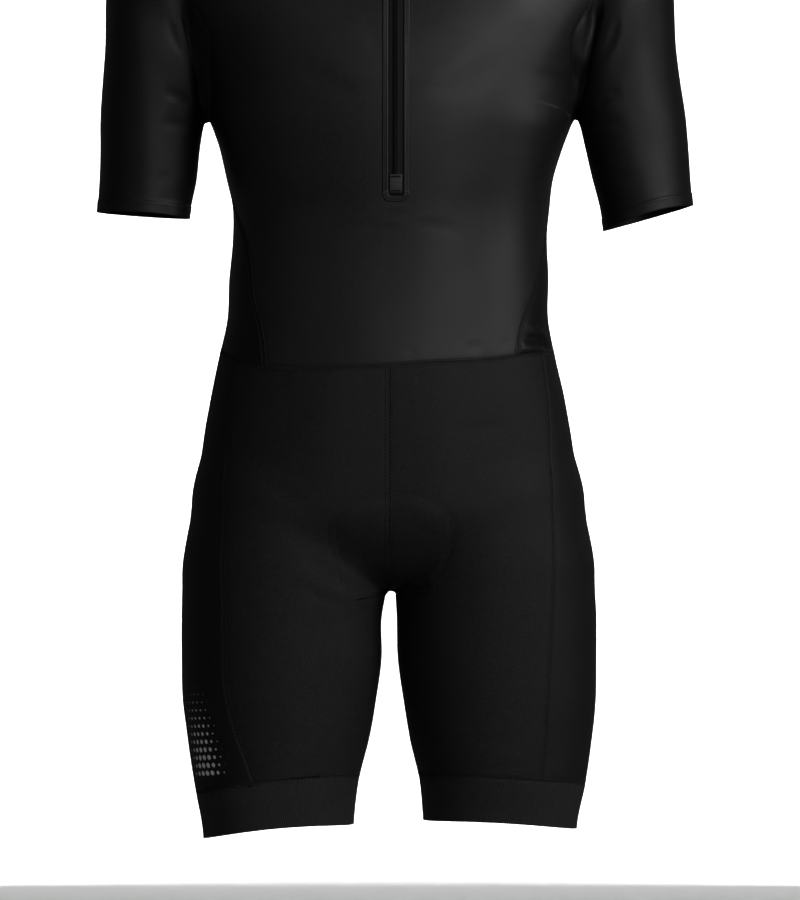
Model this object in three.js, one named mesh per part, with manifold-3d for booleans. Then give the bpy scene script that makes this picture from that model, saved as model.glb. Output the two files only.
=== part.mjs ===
// A one-piece triathlon suit, worn: a zipped top with short sleeves, sewn at the waist to fitted shorts
// with wide leg bands. Each cut piece is a thin wall of cloth on the form of a general figure.
// Millimetres, +Z up, the front faces -Y. Left and right are the wearer's own, so left is +X.
// The origin is the middle of the neck base, level with the tops of the shoulder seams.
import * as THREE from "three";
import { mergeVertices } from "three/addons/utils/BufferGeometryUtils.js";
import Module from "manifold-3d";

const manifold = await Module();
manifold.setup();

// Driving dimensions
const clothWall = 1.5; // thickness of the knit
const seamGap = 0.4; // between two pieces that are sewn together
const foldLift = 0.6; // how far a turned hem or edging stands over the cloth
const centreX = -3; // centre seam of the shorts
const zipX = 3.7; // middle of the zip
const zipSlot = 14; // width of the slit in the front
const zipEndZ = -316; // foot of the slit
const crotchZ = -679; // lowest point of the centre seam
const crotchY = 12;
const sleeveHem = 11; // depth of the turned sleeve hem

// How many quads each seam is divided into
const quads = {
  sideSeam: 11, armhole: 10, shoulder: 8, neckFront: 4, neckBack: 3, collar: 2,
  waistFront: { right: 8, left: 9 }, waistFlank: 1, waistSide: 4, waistBack: { right: 8, left: 9 },
  slitFoot: 7, centreSeam: 12, inseam: 8, sleeve: 10, band: 2,
};

// Sections of the form. middle and half run across (X), centre, front and back run in depth (Y),
// and square is 2 for an ellipse and more for a squarer section.
const torsoRings = [
  { z: -30, middle: 0, half: 222, centre: 0, front: 46, back: 82, square: 2.2 },
  { z: -50, middle: 0, half: 222, centre: 0, front: 64, back: 90, square: 2.2 },
  { z: -80, middle: 0, half: 220, centre: 0, front: 83, back: 98, square: 2.3 },
  { z: -110, middle: 0, half: 212, centre: 0, front: 98, back: 105, square: 2.3 },
  { z: -140, middle: 0, half: 196, centre: 0, front: 108, back: 110, square: 2.4 },
  { z: -170, middle: 0, half: 181, centre: 0, front: 115, back: 112, square: 2.4 },
  { z: -205, middle: -0.5, half: 171, centre: 0, front: 118, back: 111, square: 2.4 },
  { z: -242, middle: -0.5, half: 168, centre: 0, front: 117, back: 107, square: 2.4 },
  { z: -270, middle: -1, half: 159, centre: 0, front: 114, back: 102, square: 2.4 },
  { z: -298, middle: -2, half: 151.5, centre: 0, front: 110, back: 97, square: 2.4 },
  { z: -325, middle: -1, half: 147, centre: 0, front: 106, back: 93, square: 2.3 },
  { z: -353, middle: -2, half: 146, centre: 0, front: 103, back: 90, square: 2.3 },
  { z: -390, middle: -3, half: 148.5, centre: 0, front: 101, back: 90, square: 2.3 },
  { z: -428, middle: -4, half: 149.5, centre: 0, front: 101, back: 94, square: 2.3 },
  { z: -465, middle: -4.5, half: 157, centre: 0, front: 102, back: 101, square: 2.2 },
  { z: -502, middle: -4, half: 165, centre: 0, front: 103, back: 110, square: 2.2 },
  { z: -540, middle: -4, half: 171.5, centre: 0, front: 103, back: 119, square: 2.2 },
  { z: -577, middle: -4, half: 176, centre: 0, front: 102, back: 125, square: 2.2 },
  { z: -614, middle: -3, half: 178, centre: 0, front: 99, back: 122, square: 2.2 },
  { z: -650, middle: -3, half: 178, centre: 0, front: 94, back: 115, square: 2.2 },
];
const legRings = {
  right: [
    { z: -600, middle: -93.5, half: 92, centre: 4, front: 94, back: 110, square: 2.1 },
    { z: -651, middle: -99, half: 95.5, centre: 4, front: 94, back: 107, square: 2.1 },
    { z: -679, middle: -100.5, half: 95, centre: 5, front: 93, back: 103, square: 2.1 },
    { z: -707, middle: -103, half: 93, centre: 5, front: 91, back: 98, square: 2.1 },
    { z: -744, middle: -103, half: 93, centre: 6, front: 89, back: 94, square: 2.1 },
    { z: -781, middle: -105, half: 90, centre: 7, front: 86, back: 90, square: 2.1 },
    { z: -818, middle: -106, half: 84.5, centre: 8, front: 82, back: 86, square: 2.1 },
    { z: -856, middle: -108, half: 77, centre: 8, front: 77, back: 80, square: 2.1 },
    { z: -893, middle: -106.5, half: 71, centre: 8, front: 72, back: 75, square: 2.1 },
    { z: -925, middle: -105, half: 69, centre: 8, front: 70, back: 72, square: 2.1 },
  ],
  left: [
    { z: -600, middle: 89, half: 89, centre: 4, front: 94, back: 110, square: 2.1 },
    { z: -651, middle: 95, half: 93, centre: 4, front: 94, back: 107, square: 2.1 },
    { z: -679, middle: 96, half: 93, centre: 5, front: 93, back: 103, square: 2.1 },
    { z: -707, middle: 97.5, half: 93, centre: 5, front: 91, back: 98, square: 2.1 },
    { z: -744, middle: 98, half: 92.5, centre: 6, front: 89, back: 94, square: 2.1 },
    { z: -781, middle: 100.5, half: 89.5, centre: 7, front: 86, back: 90, square: 2.1 },
    { z: -818, middle: 101.5, half: 84.5, centre: 8, front: 82, back: 86, square: 2.1 },
    { z: -856, middle: 103, half: 77.5, centre: 8, front: 77, back: 80, square: 2.1 },
    { z: -893, middle: 101, half: 72, centre: 8, front: 72, back: 75, square: 2.1 },
    { z: -925, middle: 100.5, half: 70.5, centre: 8, front: 70, back: 72, square: 2.1 },
  ],
};
const armRings = {
  right: [
    { z: -60, middle: -203, half: 52, centre: 8, front: 52, back: 54, square: 2 },
    { z: -95, middle: -210, half: 53, centre: 7, front: 54, back: 55, square: 2 },
    { z: -130, middle: -214, half: 52.5, centre: 6, front: 54, back: 54, square: 2 },
    { z: -172, middle: -216, half: 51, centre: 5, front: 52, back: 52, square: 2 },
    { z: -205, middle: -219, half: 50, centre: 4, front: 51, back: 51, square: 2 },
    { z: -242, middle: -223, half: 48.5, centre: 2, front: 49, back: 50, square: 2 },
    { z: -270, middle: -225, half: 46.5, centre: 0, front: 47, back: 48, square: 2 },
    { z: -298, middle: -227, half: 45.5, centre: -1, front: 45.5, back: 46, square: 2 },
    { z: -325, middle: -230.5, half: 43.5, centre: -2, front: 44, back: 45, square: 2 },
    { z: -360, middle: -234, half: 43, centre: -3, front: 43, back: 44, square: 2 },
  ],
  left: [
    { z: -60, middle: 200, half: 52, centre: 8, front: 52, back: 54, square: 2 },
    { z: -95, middle: 206, half: 53, centre: 7, front: 54, back: 55, square: 2 },
    { z: -130, middle: 210, half: 52.5, centre: 4, front: 54, back: 54, square: 2 },
    { z: -172, middle: 213, half: 51, centre: 1, front: 52, back: 52, square: 2 },
    { z: -205, middle: 217.5, half: 50.5, centre: -2, front: 51, back: 51, square: 2 },
    { z: -242, middle: 223.5, half: 50, centre: -7, front: 49, back: 50, square: 2 },
    { z: -270, middle: 227.5, half: 48, centre: -10, front: 47, back: 48, square: 2 },
    { z: -298, middle: 231.5, half: 45.5, centre: -14, front: 45.5, back: 46, square: 2 },
    { z: -325, middle: 236, half: 43.5, centre: -17, front: 44, back: 45, square: 2 },
    { z: -360, middle: 241, half: 43, centre: -21, front: 43, back: 44, square: 2 },
  ],
};
const neckRings = [
  { z: 80, middle: 4, half: 56, centre: -6, front: 54, back: 55, square: 2 },
  { z: 40, middle: 4, half: 57, centre: -2, front: 55, back: 56, square: 2 },
  { z: 0, middle: 4, half: 60, centre: 4, front: 58, back: 58, square: 2 },
  { z: -80, middle: 4, half: 64, centre: 2, front: 58, back: 60, square: 2 },
];
// Round ends that close a tube: full size at one height, nothing at the other.
const torsoEnds = { top: { full: -110, none: 8 }, bottom: { full: -600, none: -678 } };
const neckEnds = { bottom: { full: -80, none: -130 } };
const armEnds = { top: { full: -130, none: -38 }, bottom: { full: -370, none: -400 } };
const legEnds = { top: { full: -600, none: -520 }, bottom: { full: -930, none: -960 } };
// How far the form rounds out the corners where two tubes run together
const round = { neck: 22, arm: 12, hip: 12, crotch: 10 };

// The row of a table at a height, each column eased through the rows beside it.
function rowAt(rows, z) {
  const last = rows.length - 1;
  if (z >= rows[0].z) return rows[0];
  if (z <= rows[last].z) return rows[last];
  let k = 0;
  while (rows[k + 1].z > z) k += 1;
  const before = rows[Math.max(k - 1, 0)];
  const after = rows[Math.min(k + 2, last)];
  const [from, to] = [rows[k], rows[k + 1]];
  const span = from.z - to.z;
  const t = (from.z - z) / span;
  const row = {};
  for (const column of Object.keys(from)) {
    const leave = ((to[column] - before[column]) / (before.z - to.z)) * span;
    const arrive = ((after[column] - from[column]) / (from.z - after.z)) * span;
    const rise = to[column] - from[column];
    row[column] = from[column] + t * (leave + t * (3 * rise - 2 * leave - arrive + t * (leave + arrive - 2 * rise)));
  }
  return row;
}

// How full a tube is at a height: 1 along it, falling to 0 over a round end.
function fullness(z, { top, bottom } = {}) {
  let t = 0;
  if (top && z > top.full) t = (z - top.full) / (top.none - top.full);
  if (bottom && z < bottom.full) t = (bottom.full - z) / (bottom.full - bottom.none);
  return Math.sqrt(Math.max(1 - t * t, 1e-6));
}

// About how far a point lies outside a tube of the form, less than 0 inside.
function outsideTube(rows, ends, p) {
  const ring = rowAt(rows, p.z);
  const full = fullness(p.z, ends);
  const dx = p.x - ring.middle;
  const dy = p.y - ring.centre;
  const away = Math.hypot(dx, dy);
  const depth = dy < 0 ? ring.front : ring.back;
  const share = (Math.abs(dx) / ring.half) ** ring.square + (Math.abs(dy) / depth) ** ring.square;
  const radius = away < 1e-6 ? ring.half : away / share ** (1 / ring.square);
  const past = Math.max(ends?.top ? p.z - ends.top.none : 0, ends?.bottom ? ends.bottom.none - p.z : 0, 0);
  return away - radius * full + past;
}

// The smaller of two distances, rounded out where they are alike.
function join(a, b, reach) {
  const near = Math.max(reach - Math.abs(a - b), 0) / reach;
  return Math.min(a, b) - (near * near * reach) / 4;
}

// About how far a point lies outside the whole form.
function outside(p) {
  const trunk = join(outsideTube(torsoRings, torsoEnds, p), outsideTube(neckRings, neckEnds, p), round.neck);
  const arms = Math.min(outsideTube(armRings.right, armEnds, p), outsideTube(armRings.left, armEnds, p));
  const legs = join(
    outsideTube(legRings.right, legEnds, p),
    outsideTube(legRings.left, legEnds, p),
    round.crotch,
  );
  return join(join(trunk, arms, round.arm), legs, round.hip);
}

// The direction straight out of the form at a point.
function outward(p) {
  const step = 0.5;
  const slope = (axis) => {
    const ahead = p.clone();
    const behind = p.clone();
    ahead[axis] += step;
    behind[axis] -= step;
    return outside(ahead) - outside(behind);
  };
  return new THREE.Vector3(slope("x"), slope("y"), slope("z")).normalize();
}

// The point of the form's surface that a line from inside the form meets on its way to a guide point.
function onForm(guide, core) {
  const from = core(guide);
  const way = guide.clone().sub(from).normalize();
  const at = (t) => from.clone().addScaledVector(way, t);
  const stride = 4;
  let near = 0;
  let far = stride;
  while (outside(at(far)) < 0 && far < 400) {
    near = far;
    far += stride;
  }
  for (let k = 0; k < 18; k += 1) {
    const half = (near + far) / 2;
    if (outside(at(half)) < 0) near = half;
    else far = half;
  }
  const point = at((near + far) / 2);
  return { point, out: outward(point) };
}

const clamp = THREE.MathUtils.clamp;
const at = (x, y, z) => new THREE.Vector3(x, y, z);

// Cores: the places inside the form that lines to the surface start from, for each part of the suit.
const torsoCore = (q) => {
  const z = Math.min(q.z, -85);
  const ring = rowAt(torsoRings, z);
  const reach = ring.half - 0.8 * ring.front;
  return at(clamp(q.x, ring.middle - reach, ring.middle + reach), 0, z);
};
// Near the neck, lines start from the neck's own core, so that they meet its foot squarely.
const yokeCore = (q) => {
  const near = clamp((115 - Math.hypot(q.x - 4, q.y - 2)) / 50, 0, 1) * clamp((q.z + 70) / 40, 0, 1);
  return torsoCore(q).lerp(neckCore(q), near);
};
const armholeCore = (q) => at(q.x, 12, clamp(q.z, -200, -110));
const neckCore = (q) => at(4, 2, q.z - 45);
const zipCore = (q) => at(q.x, 2, q.z > -60 ? q.z - 45 : Math.min(q.z, -105));
const armCore = (side) => (q) => {
  const ring = rowAt(armRings[side], clamp(q.z, -360, -130));
  return at(ring.middle, ring.centre, clamp(q.z, -360, -130));
};
const shortsCore = (side) => (q) => {
  const ring = rowAt(legRings[side], q.z);
  const split = clamp((-600 - q.z) / 100, 0, 1);
  const inner = THREE.MathUtils.lerp(centreX, ring.middle, split * 0.7);
  const outer = ring.middle * 1.1;
  return at(clamp(q.x, Math.min(inner, outer), Math.max(inner, outer)), 5, q.z);
};
const centreCore = (q) => {
  const under = clamp((-600 - q.z) / 60, 0, 1);
  return at(q.x, clamp(q.y, -30 * under, 5 + 40 * under), Math.max(q.z, -640));
};

// Guide points on the front, back and sides of the form, by what a view from there shows.
const frontAt = (x, z) => onForm(at(x, -60, z), () => at(x, 0, z)).point;
const backAt = (x, z) => onForm(at(x, 60, z), () => at(x, 0, z)).point;
const sideAt = (sign, y, z) => onForm(at(sign * 150, y, z), () => at(0, y, z)).point;

// A seam: points on the form, evenly spaced along an easy curve through its guide points.
function seam(guides, count, core, closed = false) {
  const curve = new THREE.CatmullRomCurve3(guides, closed, "centripetal");
  curve.arcLengthDivisions = 400;
  return curve.getSpacedPoints(count).map((guide) => onForm(guide, core));
}

const follow = (...seams) => seams.flatMap((one, k) => (k ? one.slice(1) : one));
const reversed = (one) => [...one].reverse();

// The points of a four-sided piece, in rows from its bottom seam to its top seam.
function patch({ bottom, top, left, right }, core) {
  const [rows, columns] = [left.length - 1, bottom.length - 1];
  return left.map((_, i) =>
    bottom.map((_, j) => {
      if (i === 0) return bottom[j];
      if (i === rows) return top[j];
      if (j === 0) return left[i];
      if (j === columns) return right[i];
      const [u, v] = [j / columns, i / rows];
      const guide = at(0, 0, 0)
        .addScaledVector(bottom[j].point, 1 - v).addScaledVector(top[j].point, v)
        .addScaledVector(left[i].point, 1 - u).addScaledVector(right[i].point, u)
        .addScaledVector(bottom[0].point, -(1 - u) * (1 - v)).addScaledVector(bottom[columns].point, -u * (1 - v))
        .addScaledVector(top[0].point, -(1 - u) * v).addScaledVector(top[columns].point, -u * v);
      return onForm(guide, core);
    }),
  );
}

// Rows of points from one seam to another that has as many points, by way of a ring of bends if it is given.
function rowsBetween(lower, upper, count, core, bends) {
  return Array.from({ length: count + 1 }, (_, i) => {
    if (i === 0) return lower;
    if (i === count) return upper;
    const t = i / count;
    return lower.map(({ point }, j) => {
      const [from, to] = [point, upper[j].point];
      const guide = from.clone().lerp(to, t);
      if (bends) {
        const bend = bends[j].point;
        guide.lerpVectors(from.clone().lerp(bend, t), bend.clone().lerp(to, t), t);
      }
      return onForm(guide, core);
    });
  });
}

// A wall of cloth through rows of points on the form.
// around: the last point of a row meets the first. open(i, j): no cloth in that quad.
// lift(i, j): how far the outside stands over the form. inset: pull the edges in by half a seam's gap.
function clothPiece(name, material, rows, options = {}) {
  const { around = false, open = () => false, lift = () => 0, wall = clothWall, inset = true } = options;
  const height = rows.length - 1;
  const columns = around ? rows[0].length : rows[0].length - 1;
  const width = rows[0].length;
  const pointAt = (i, j) => rows[clamp(i, 0, height)][around ? (j + width) % width : clamp(j, 0, width - 1)].point;

  // Which way, and how far, an edge point moves into its own piece.
  const pull = (i, j) => {
    const move = at(0, 0, 0);
    if (!inset) return move;
    const out = rows[i][j].out;
    const along = pointAt(i, j + 1).clone().sub(pointAt(i, j - 1));
    const up = pointAt(i + 1, j).clone().sub(pointAt(i - 1, j));
    const square = (edge, inside) => {
      const way = edge.clone().cross(out).normalize();
      return way.multiplyScalar(way.dot(inside) < 0 ? -seamGap / 2 : seamGap / 2);
    };
    if (i === 0) move.add(square(along, up));
    if (i === height) move.add(square(along, up.clone().negate()));
    if (!around && j === 0) move.add(square(up, along));
    if (!around && j === width - 1) move.add(square(up, along.clone().negate()));
    return move;
  };

  const places = [];
  for (const side of [0, 1])
    rows.forEach((row, i) =>
      row.forEach(({ point, out }, j) => {
        places.push(point.clone().add(pull(i, j)).addScaledVector(out, side ? -wall : lift(i, j)));
      }),
    );
  const index = (i, j, side) => (side * (height + 1) + i) * width + (around ? (j + width) % width : j);
  const filled = (i, j) => i >= 0 && i < height && (around || (j >= 0 && j < columns)) && !open(i, j);
  const faces = [];
  const quad = (a, b, c, d) => faces.push(a, b, c, a, c, d);
  for (let i = 0; i < height; i += 1)
    for (let j = 0; j < columns; j += 1) {
      if (!filled(i, j)) continue;
      quad(index(i, j, 0), index(i, j + 1, 0), index(i + 1, j + 1, 0), index(i + 1, j, 0));
      quad(index(i + 1, j, 1), index(i + 1, j + 1, 1), index(i, j + 1, 1), index(i, j, 1));
      if (!filled(i - 1, j)) quad(index(i, j, 1), index(i, j + 1, 1), index(i, j + 1, 0), index(i, j, 0));
      if (!filled(i + 1, j))
        quad(index(i + 1, j, 0), index(i + 1, j + 1, 0), index(i + 1, j + 1, 1), index(i + 1, j, 1));
      if (!filled(i, j - 1)) quad(index(i, j, 0), index(i + 1, j, 0), index(i + 1, j, 1), index(i, j, 1));
      if (!filled(i, j + 1))
        quad(index(i, j + 1, 1), index(i + 1, j + 1, 1), index(i + 1, j + 1, 0), index(i, j + 1, 0));
    }

  // The faces point out when the rows' own quads agree with the form's normals.
  let facing = 0;
  for (let i = 0; i < height; i += 1)
    for (let j = 0; j < columns; j += 1) {
      const along = pointAt(i, j + 1).clone().sub(pointAt(i, j));
      facing += along.cross(pointAt(i + 1, j).clone().sub(pointAt(i, j))).dot(rows[i][j].out);
    }
  if (facing < 0) faces.reverse();

  const geometry = new THREE.BufferGeometry();
  geometry.setAttribute("position", new THREE.Float32BufferAttribute(places.flatMap((p) => p.toArray()), 3));
  geometry.setIndex(faces);
  geometry.computeVertexNormals();
  return named(name, geometry, material);
}

function named(name, geometry, material) {
  const mesh = new THREE.Mesh(geometry, material);
  mesh.name = name;
  return mesh;
}

const finish = {
  topKnit: new THREE.MeshStandardMaterial({ color: 0x141416, roughness: 0.5 }),
  shortsKnit: new THREE.MeshStandardMaterial({ color: 0x101012, roughness: 0.75 }),
  bandKnit: new THREE.MeshStandardMaterial({ color: 0x18181a, roughness: 0.8 }),
  tape: new THREE.MeshStandardMaterial({ color: 0x0c0c0e, roughness: 0.85 }),
  plastic: new THREE.MeshStandardMaterial({ color: 0x121214, roughness: 0.4 }),
  metal: new THREE.MeshStandardMaterial({ color: 0x1a1a1c, roughness: 0.35, metalness: 0.6 }),
};

// Seams of the waist, by what the front view shows; the back is level and a little higher.
const waistLine = {
  right: {
    front: [{ x: centreX, z: -471.5 }, { x: -60, z: -474 }, { x: -95, z: -473.5 }, { x: -117, z: -471.5 }],
    flank: [{ x: -117, z: -471.5 }, { x: -130, z: -469.5 }, { x: -145, z: -466 }],
  },
  left: {
    front: [{ x: centreX, z: -471.5 }, { x: 41, z: -468.5 }, { x: 89, z: -466 }, { x: 114.5, z: -462 }],
    flank: [{ x: 114.5, z: -462 }, { x: 128, z: -460 }, { x: 140, z: -459 }],
  },
};
const waistSideZ = -458;
const waistBackZ = -450;
const waistBackX = { thigh: 118, side: 98 };

// Front edge of the top's side panel: on the front first, by x and z, then round the side, by y and z.
const sidePanelFront = {
  right: {
    face: [{ x: -121, z: -438 }, { x: -128, z: -410 }, { x: -132, z: -369 }, { x: -137, z: -350 }],
    flank: [{ y: -20, z: -318 }, { y: -9, z: -288 }, { y: -4, z: -262 }],
  },
  left: {
    face: [{ x: 121, z: -431 }, { x: 132, z: -405 }, { x: 138, z: -380 }],
    flank: [{ y: -22, z: -350 }, { y: -10, z: -316 }, { y: -5, z: -285 }, { y: -4, z: -262 }],
  },
};
const sidePanelBack = [{ y: 60, z: -400 }, { y: 54, z: -330 }, { y: 42, z: -275 }];

// The armhole, from under the arm up the front or the back to the shoulder.
const armhole = {
  underarm: { x: 169, z: -238, front: -3, back: 26 },
  front: [
    { x: 168.5, y: -28, z: -215 }, { x: 168, y: -48, z: -188 }, { x: 168, y: -60, z: -166 },
    { x: 176, y: -62, z: -149 }, { x: 188, y: -56, z: -130 }, { x: 196, y: -42, z: -100 },
    { x: 199, y: -18, z: -62 },
  ],
  back: [
    { x: 171, y: 50, z: -215 }, { x: 173, y: 66, z: -188 }, { x: 176, y: 74, z: -160 },
    { x: 184, y: 74, z: -130 }, { x: 193, y: 58, z: -95 }, { x: 199, y: 32, z: -60 },
  ],
  shoulder: { x: 198, y: 8, z: -46 },
};
const neckPoint = { x: 62, y: 6, z: 11 };
const neckFront = { y: -58, z: -48 };
const neckBack = { x: 4, half: 10, y: 66, z: 5 };

// Front edge of the thigh's side panel, from the waist to the leg band, and its back edge.
const thighFront = {
  right: [
    { x: -145, z: -466 }, { x: -151, z: -520 }, { x: -154, z: -600 }, { x: -155, z: -700 },
    { x: -153, z: -768 }, { x: -142, z: -815 }, { x: -134, z: -837 }, { x: -125, z: -863 },
  ],
  left: [
    { x: 140, z: -459 }, { x: 146, z: -520 }, { x: 149, z: -600 }, { x: 148, z: -700 },
    { x: 143, z: -781 }, { x: 140, z: -830 }, { x: 137, z: -853 },
  ],
};
const thighBack = [
  { x: 118, z: -450 }, { x: 128, z: -520 }, { x: 133, z: -600 }, { x: 133, z: -700 },
  { x: 131, z: -780 }, { x: 126, z: -830 }, { x: 122, z: -858 },
];

// Leg band: heights of its top seam and of its hem at the inner side, front, outer side and back.
const band = {
  right: {
    seam: { inner: -852, front: -854, outer: -868, back: -858 },
    hem: { inner: -897, front: -898, outer: -910, back: -900 },
  },
  left: {
    seam: { inner: -850, front: -852, outer: -859, back: -854 },
    hem: { inner: -893, front: -893, outer: -901, back: -896 },
  },
};
// Sleeve hem: heights at the inner side, front, outer side and back of the arm.
const sleeveHemLine = {
  right: { inner: -334, front: -329, outer: -328, back: -331 },
  left: { inner: -346, front: -330, outer: -322, back: -334 },
};

// Heights of the ring that the sleeve's lengthwise lines bend towards on their way to the armhole
const sleeveBend = { inner: -255, front: -190, outer: -75, back: -180 };

// A closed ring of guide points round a limb whose height changes from side to side.
function limbRing(rings, sign, line, rise = 0) {
  const steps = 16;
  return Array.from({ length: steps }, (_, k) => {
    const turn = (2 * Math.PI * k) / steps;
    const [outer, front] = [Math.cos(turn), Math.sin(turn)];
    const across = (line.outer + line.inner) / 2 + ((line.outer - line.inner) / 2) * outer;
    const sides = (line.outer + line.inner) / 2;
    const deep = front > 0 ? line.front - sides : line.back - sides;
    const z = across + deep * front * front + rise;
    const ring = rowAt(rings, z);
    return at(ring.middle + sign * ring.half * outer, ring.centre - ring.front * front, z);
  });
}

// A seam along a closed ring of guides, from one of its places to another, counted as the ring runs.
function alongRing(ring, from, to, count, core) {
  const curve = new THREE.CatmullRomCurve3(ring, true, "centripetal");
  return Array.from({ length: count + 1 }, (_, k) => {
    const place = from + ((to - from) * k) / count;
    return onForm(curve.getPoint(((place % 1) + 1) % 1), core);
  });
}

// Builds the seams of one side of the suit.
function seamsOf(side) {
  const sign = side === "left" ? 1 : -1;
  const facePoints = (rows) => rows.map(({ x, z }) => frontAt(x, z));
  const flankPoints = (rows) => rows.map(({ y, z }) => sideAt(sign, y, z));
  const mirror = ({ x, y, z }) => at(sign * x, y, z);
  const arm = armCore(side);
  const thigh = shortsCore(side);
  const waist = waistLine[side];

  const waistFront = seam(facePoints(waist.front), quads.waistFront[side], torsoCore);
  const waistFlankFront = seam(facePoints(waist.flank), quads.waistFlank, torsoCore);
  const thighBackTop = backAt(sign * waistBackX.thigh, waistBackZ);
  const sideBackTop = backAt(sign * waistBackX.side, waistBackZ);
  const waistSide = seam(
    [waistFlankFront.at(-1).point, sideAt(sign, -20, waistSideZ), sideAt(sign, 30, waistSideZ + 2), thighBackTop],
    quads.waistSide, torsoCore,
  );
  const waistFlankBack = seam([thighBackTop, sideBackTop], quads.waistFlank, torsoCore);
  const waistBack = seam(
    [sideBackTop, backAt(sign * 50, waistBackZ), backAt(centreX, waistBackZ)], quads.waistBack[side], torsoCore,
  );

  const { underarm } = armhole;
  const underFront = at(sign * underarm.x, underarm.front, underarm.z);
  const underBack = at(sign * underarm.x, underarm.back, underarm.z);
  const shoulderEnd = mirror(armhole.shoulder);
  const panelFront = sidePanelFront[side];
  const sideFront = seam(
    [waistFront.at(-1).point, ...facePoints(panelFront.face), ...flankPoints(panelFront.flank)],
    quads.sideSeam - 1, torsoCore,
  );
  const sideBack = seam(
    [waistFlankBack.at(-1).point, ...flankPoints(sidePanelBack)], quads.sideSeam - 1, torsoCore,
  );
  const armholeUnder = seam([underFront, underBack], quads.waistSide + 2 * quads.waistFlank, armholeCore);
  const armholeFront = seam([underFront, ...armhole.front.map(mirror), shoulderEnd], quads.armhole, armholeCore);
  const armholeBack = seam([underBack, ...armhole.back.map(mirror), shoulderEnd], quads.armhole, armholeCore);

  const neckSide = mirror(neckPoint).add(at(neckRings[0].middle, 0, 0));
  const shoulder = seam(
    [armholeFront.at(-1).point, at(sign * 130, 8, -20), onForm(neckSide, neckCore).point], quads.shoulder, yokeCore,
  );
  shoulder[quads.shoulder] = onForm(neckSide, neckCore);
  const slitX = zipX + (sign * zipSlot) / 2;
  const neckFoot = onForm(at(slitX, neckFront.y, neckFront.z), zipCore);
  const neckFrontSeam = seam(
    [shoulder.at(-1).point, at(sign * 48 + 4, -38, -20), at(sign * 26 + 4, -55, -40), neckFoot.point],
    quads.neckFront, neckCore,
  );
  neckFrontSeam[quads.neckFront] = neckFoot;

  // The slit's edge runs on down to the waist as a line of the cloth's own points.
  const waistEnd = side === "right" ? waistFront[0] : waistFront[1];
  const slitFoot = onForm(at(slitX, -100, zipEndZ), zipCore);
  const slitBelow = seam([waistEnd.point, slitFoot.point], quads.slitFoot, torsoCore);
  slitBelow[0] = waistEnd;
  const slitRows = quads.sideSeam + quads.armhole - quads.slitFoot - quads.neckFront;
  const slitGuides = [slitFoot.point, at(slitX, -118, -205), at(slitX, -100, -110), neckFoot.point];
  const slitAbove = seam(slitGuides, slitRows, zipCore);
  slitAbove[slitRows] = neckFoot;

  // A line of the cloth's own points down the back, from the neck to the waist
  const neckNape = onForm(at(neckBack.x + sign * neckBack.half, neckBack.y, neckBack.z), neckCore);
  const neckBackSeam = seam(
    [shoulder.at(-1).point, at(sign * 44 + 4, 48, 7), neckNape.point], quads.neckBack, neckCore,
  );
  neckBackSeam[quads.neckBack] = neckNape;
  const napeEnd = side === "right" ? waistBack.at(-1) : waistBack.at(-2);
  const backLine = seam(
    [napeEnd.point, backAt(neckBack.x + sign * neckBack.half, -250), backAt(neckBack.x + sign * neckBack.half, -90),
      neckNape.point],
    quads.sideSeam + quads.armhole - quads.neckBack, torsoCore,
  );
  backLine[0] = napeEnd;
  backLine[backLine.length - 1] = neckNape;

  // The shorts
  const crotch = onForm(at(centreX, crotchY, crotchZ), centreCore);
  const limb = legRings[side];
  const seamRing = limbRing(limb, sign, band[side].seam);
  const hemRing = limbRing(limb, sign, band[side].hem);
  const frontEdge = thighFront[side];
  const thighSeam = seam(facePoints(frontEdge), quads.centreSeam + quads.inseam, thigh);
  const thighBackSeam = seam(
    thighBack.map(({ x, z }) => backAt(sign * x, z)), quads.centreSeam + quads.inseam, thigh,
  );
  thighSeam[0] = waistFlankFront.at(-1);
  thighBackSeam[0] = waistSide.at(-1);
  const turnOf = ({ point }) => {
    const ring = rowAt(limb, point.z);
    const turn = Math.atan2((ring.centre - point.y) / ring.front, (sign * (point.x - ring.middle)) / ring.half);
    return turn / (2 * Math.PI);
  };
  const [frontPlace, backPlace] = [turnOf(thighSeam.at(-1)), turnOf(thighBackSeam.at(-1))];
  const columns = {
    front: quads.waistFront[side] + quads.waistFlank,
    side: quads.waistSide,
    back: quads.waistBack[side] + quads.waistFlank,
  };
  const ringPieces = (ring) => ({
    front: alongRing(ring, 0.5, frontPlace, columns.front, thigh),
    side: alongRing(ring, frontPlace, backPlace, columns.side, thigh),
    back: alongRing(ring, backPlace, -0.5, columns.back, thigh),
  });
  const bandTop = ringPieces(seamRing);
  const bandHem = ringPieces(hemRing);
  thighSeam[thighSeam.length - 1] = bandTop.front.at(-1);
  thighBackSeam[thighBackSeam.length - 1] = bandTop.side.at(-1);
  const inner = (z) => {
    const ring = rowAt(limb, z);
    return at(ring.middle - sign * ring.half, crotchY - 4, z);
  };
  const inseam = seam(
    [crotch.point, inner(-705), inner(-745), inner(-800), bandTop.front[0].point], quads.inseam, thigh,
  );
  inseam[0] = crotch;
  inseam[quads.inseam] = bandTop.front[0];
  bandTop.back[columns.back] = bandTop.front[0];
  bandHem.back[columns.back] = bandHem.front[0];

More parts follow.
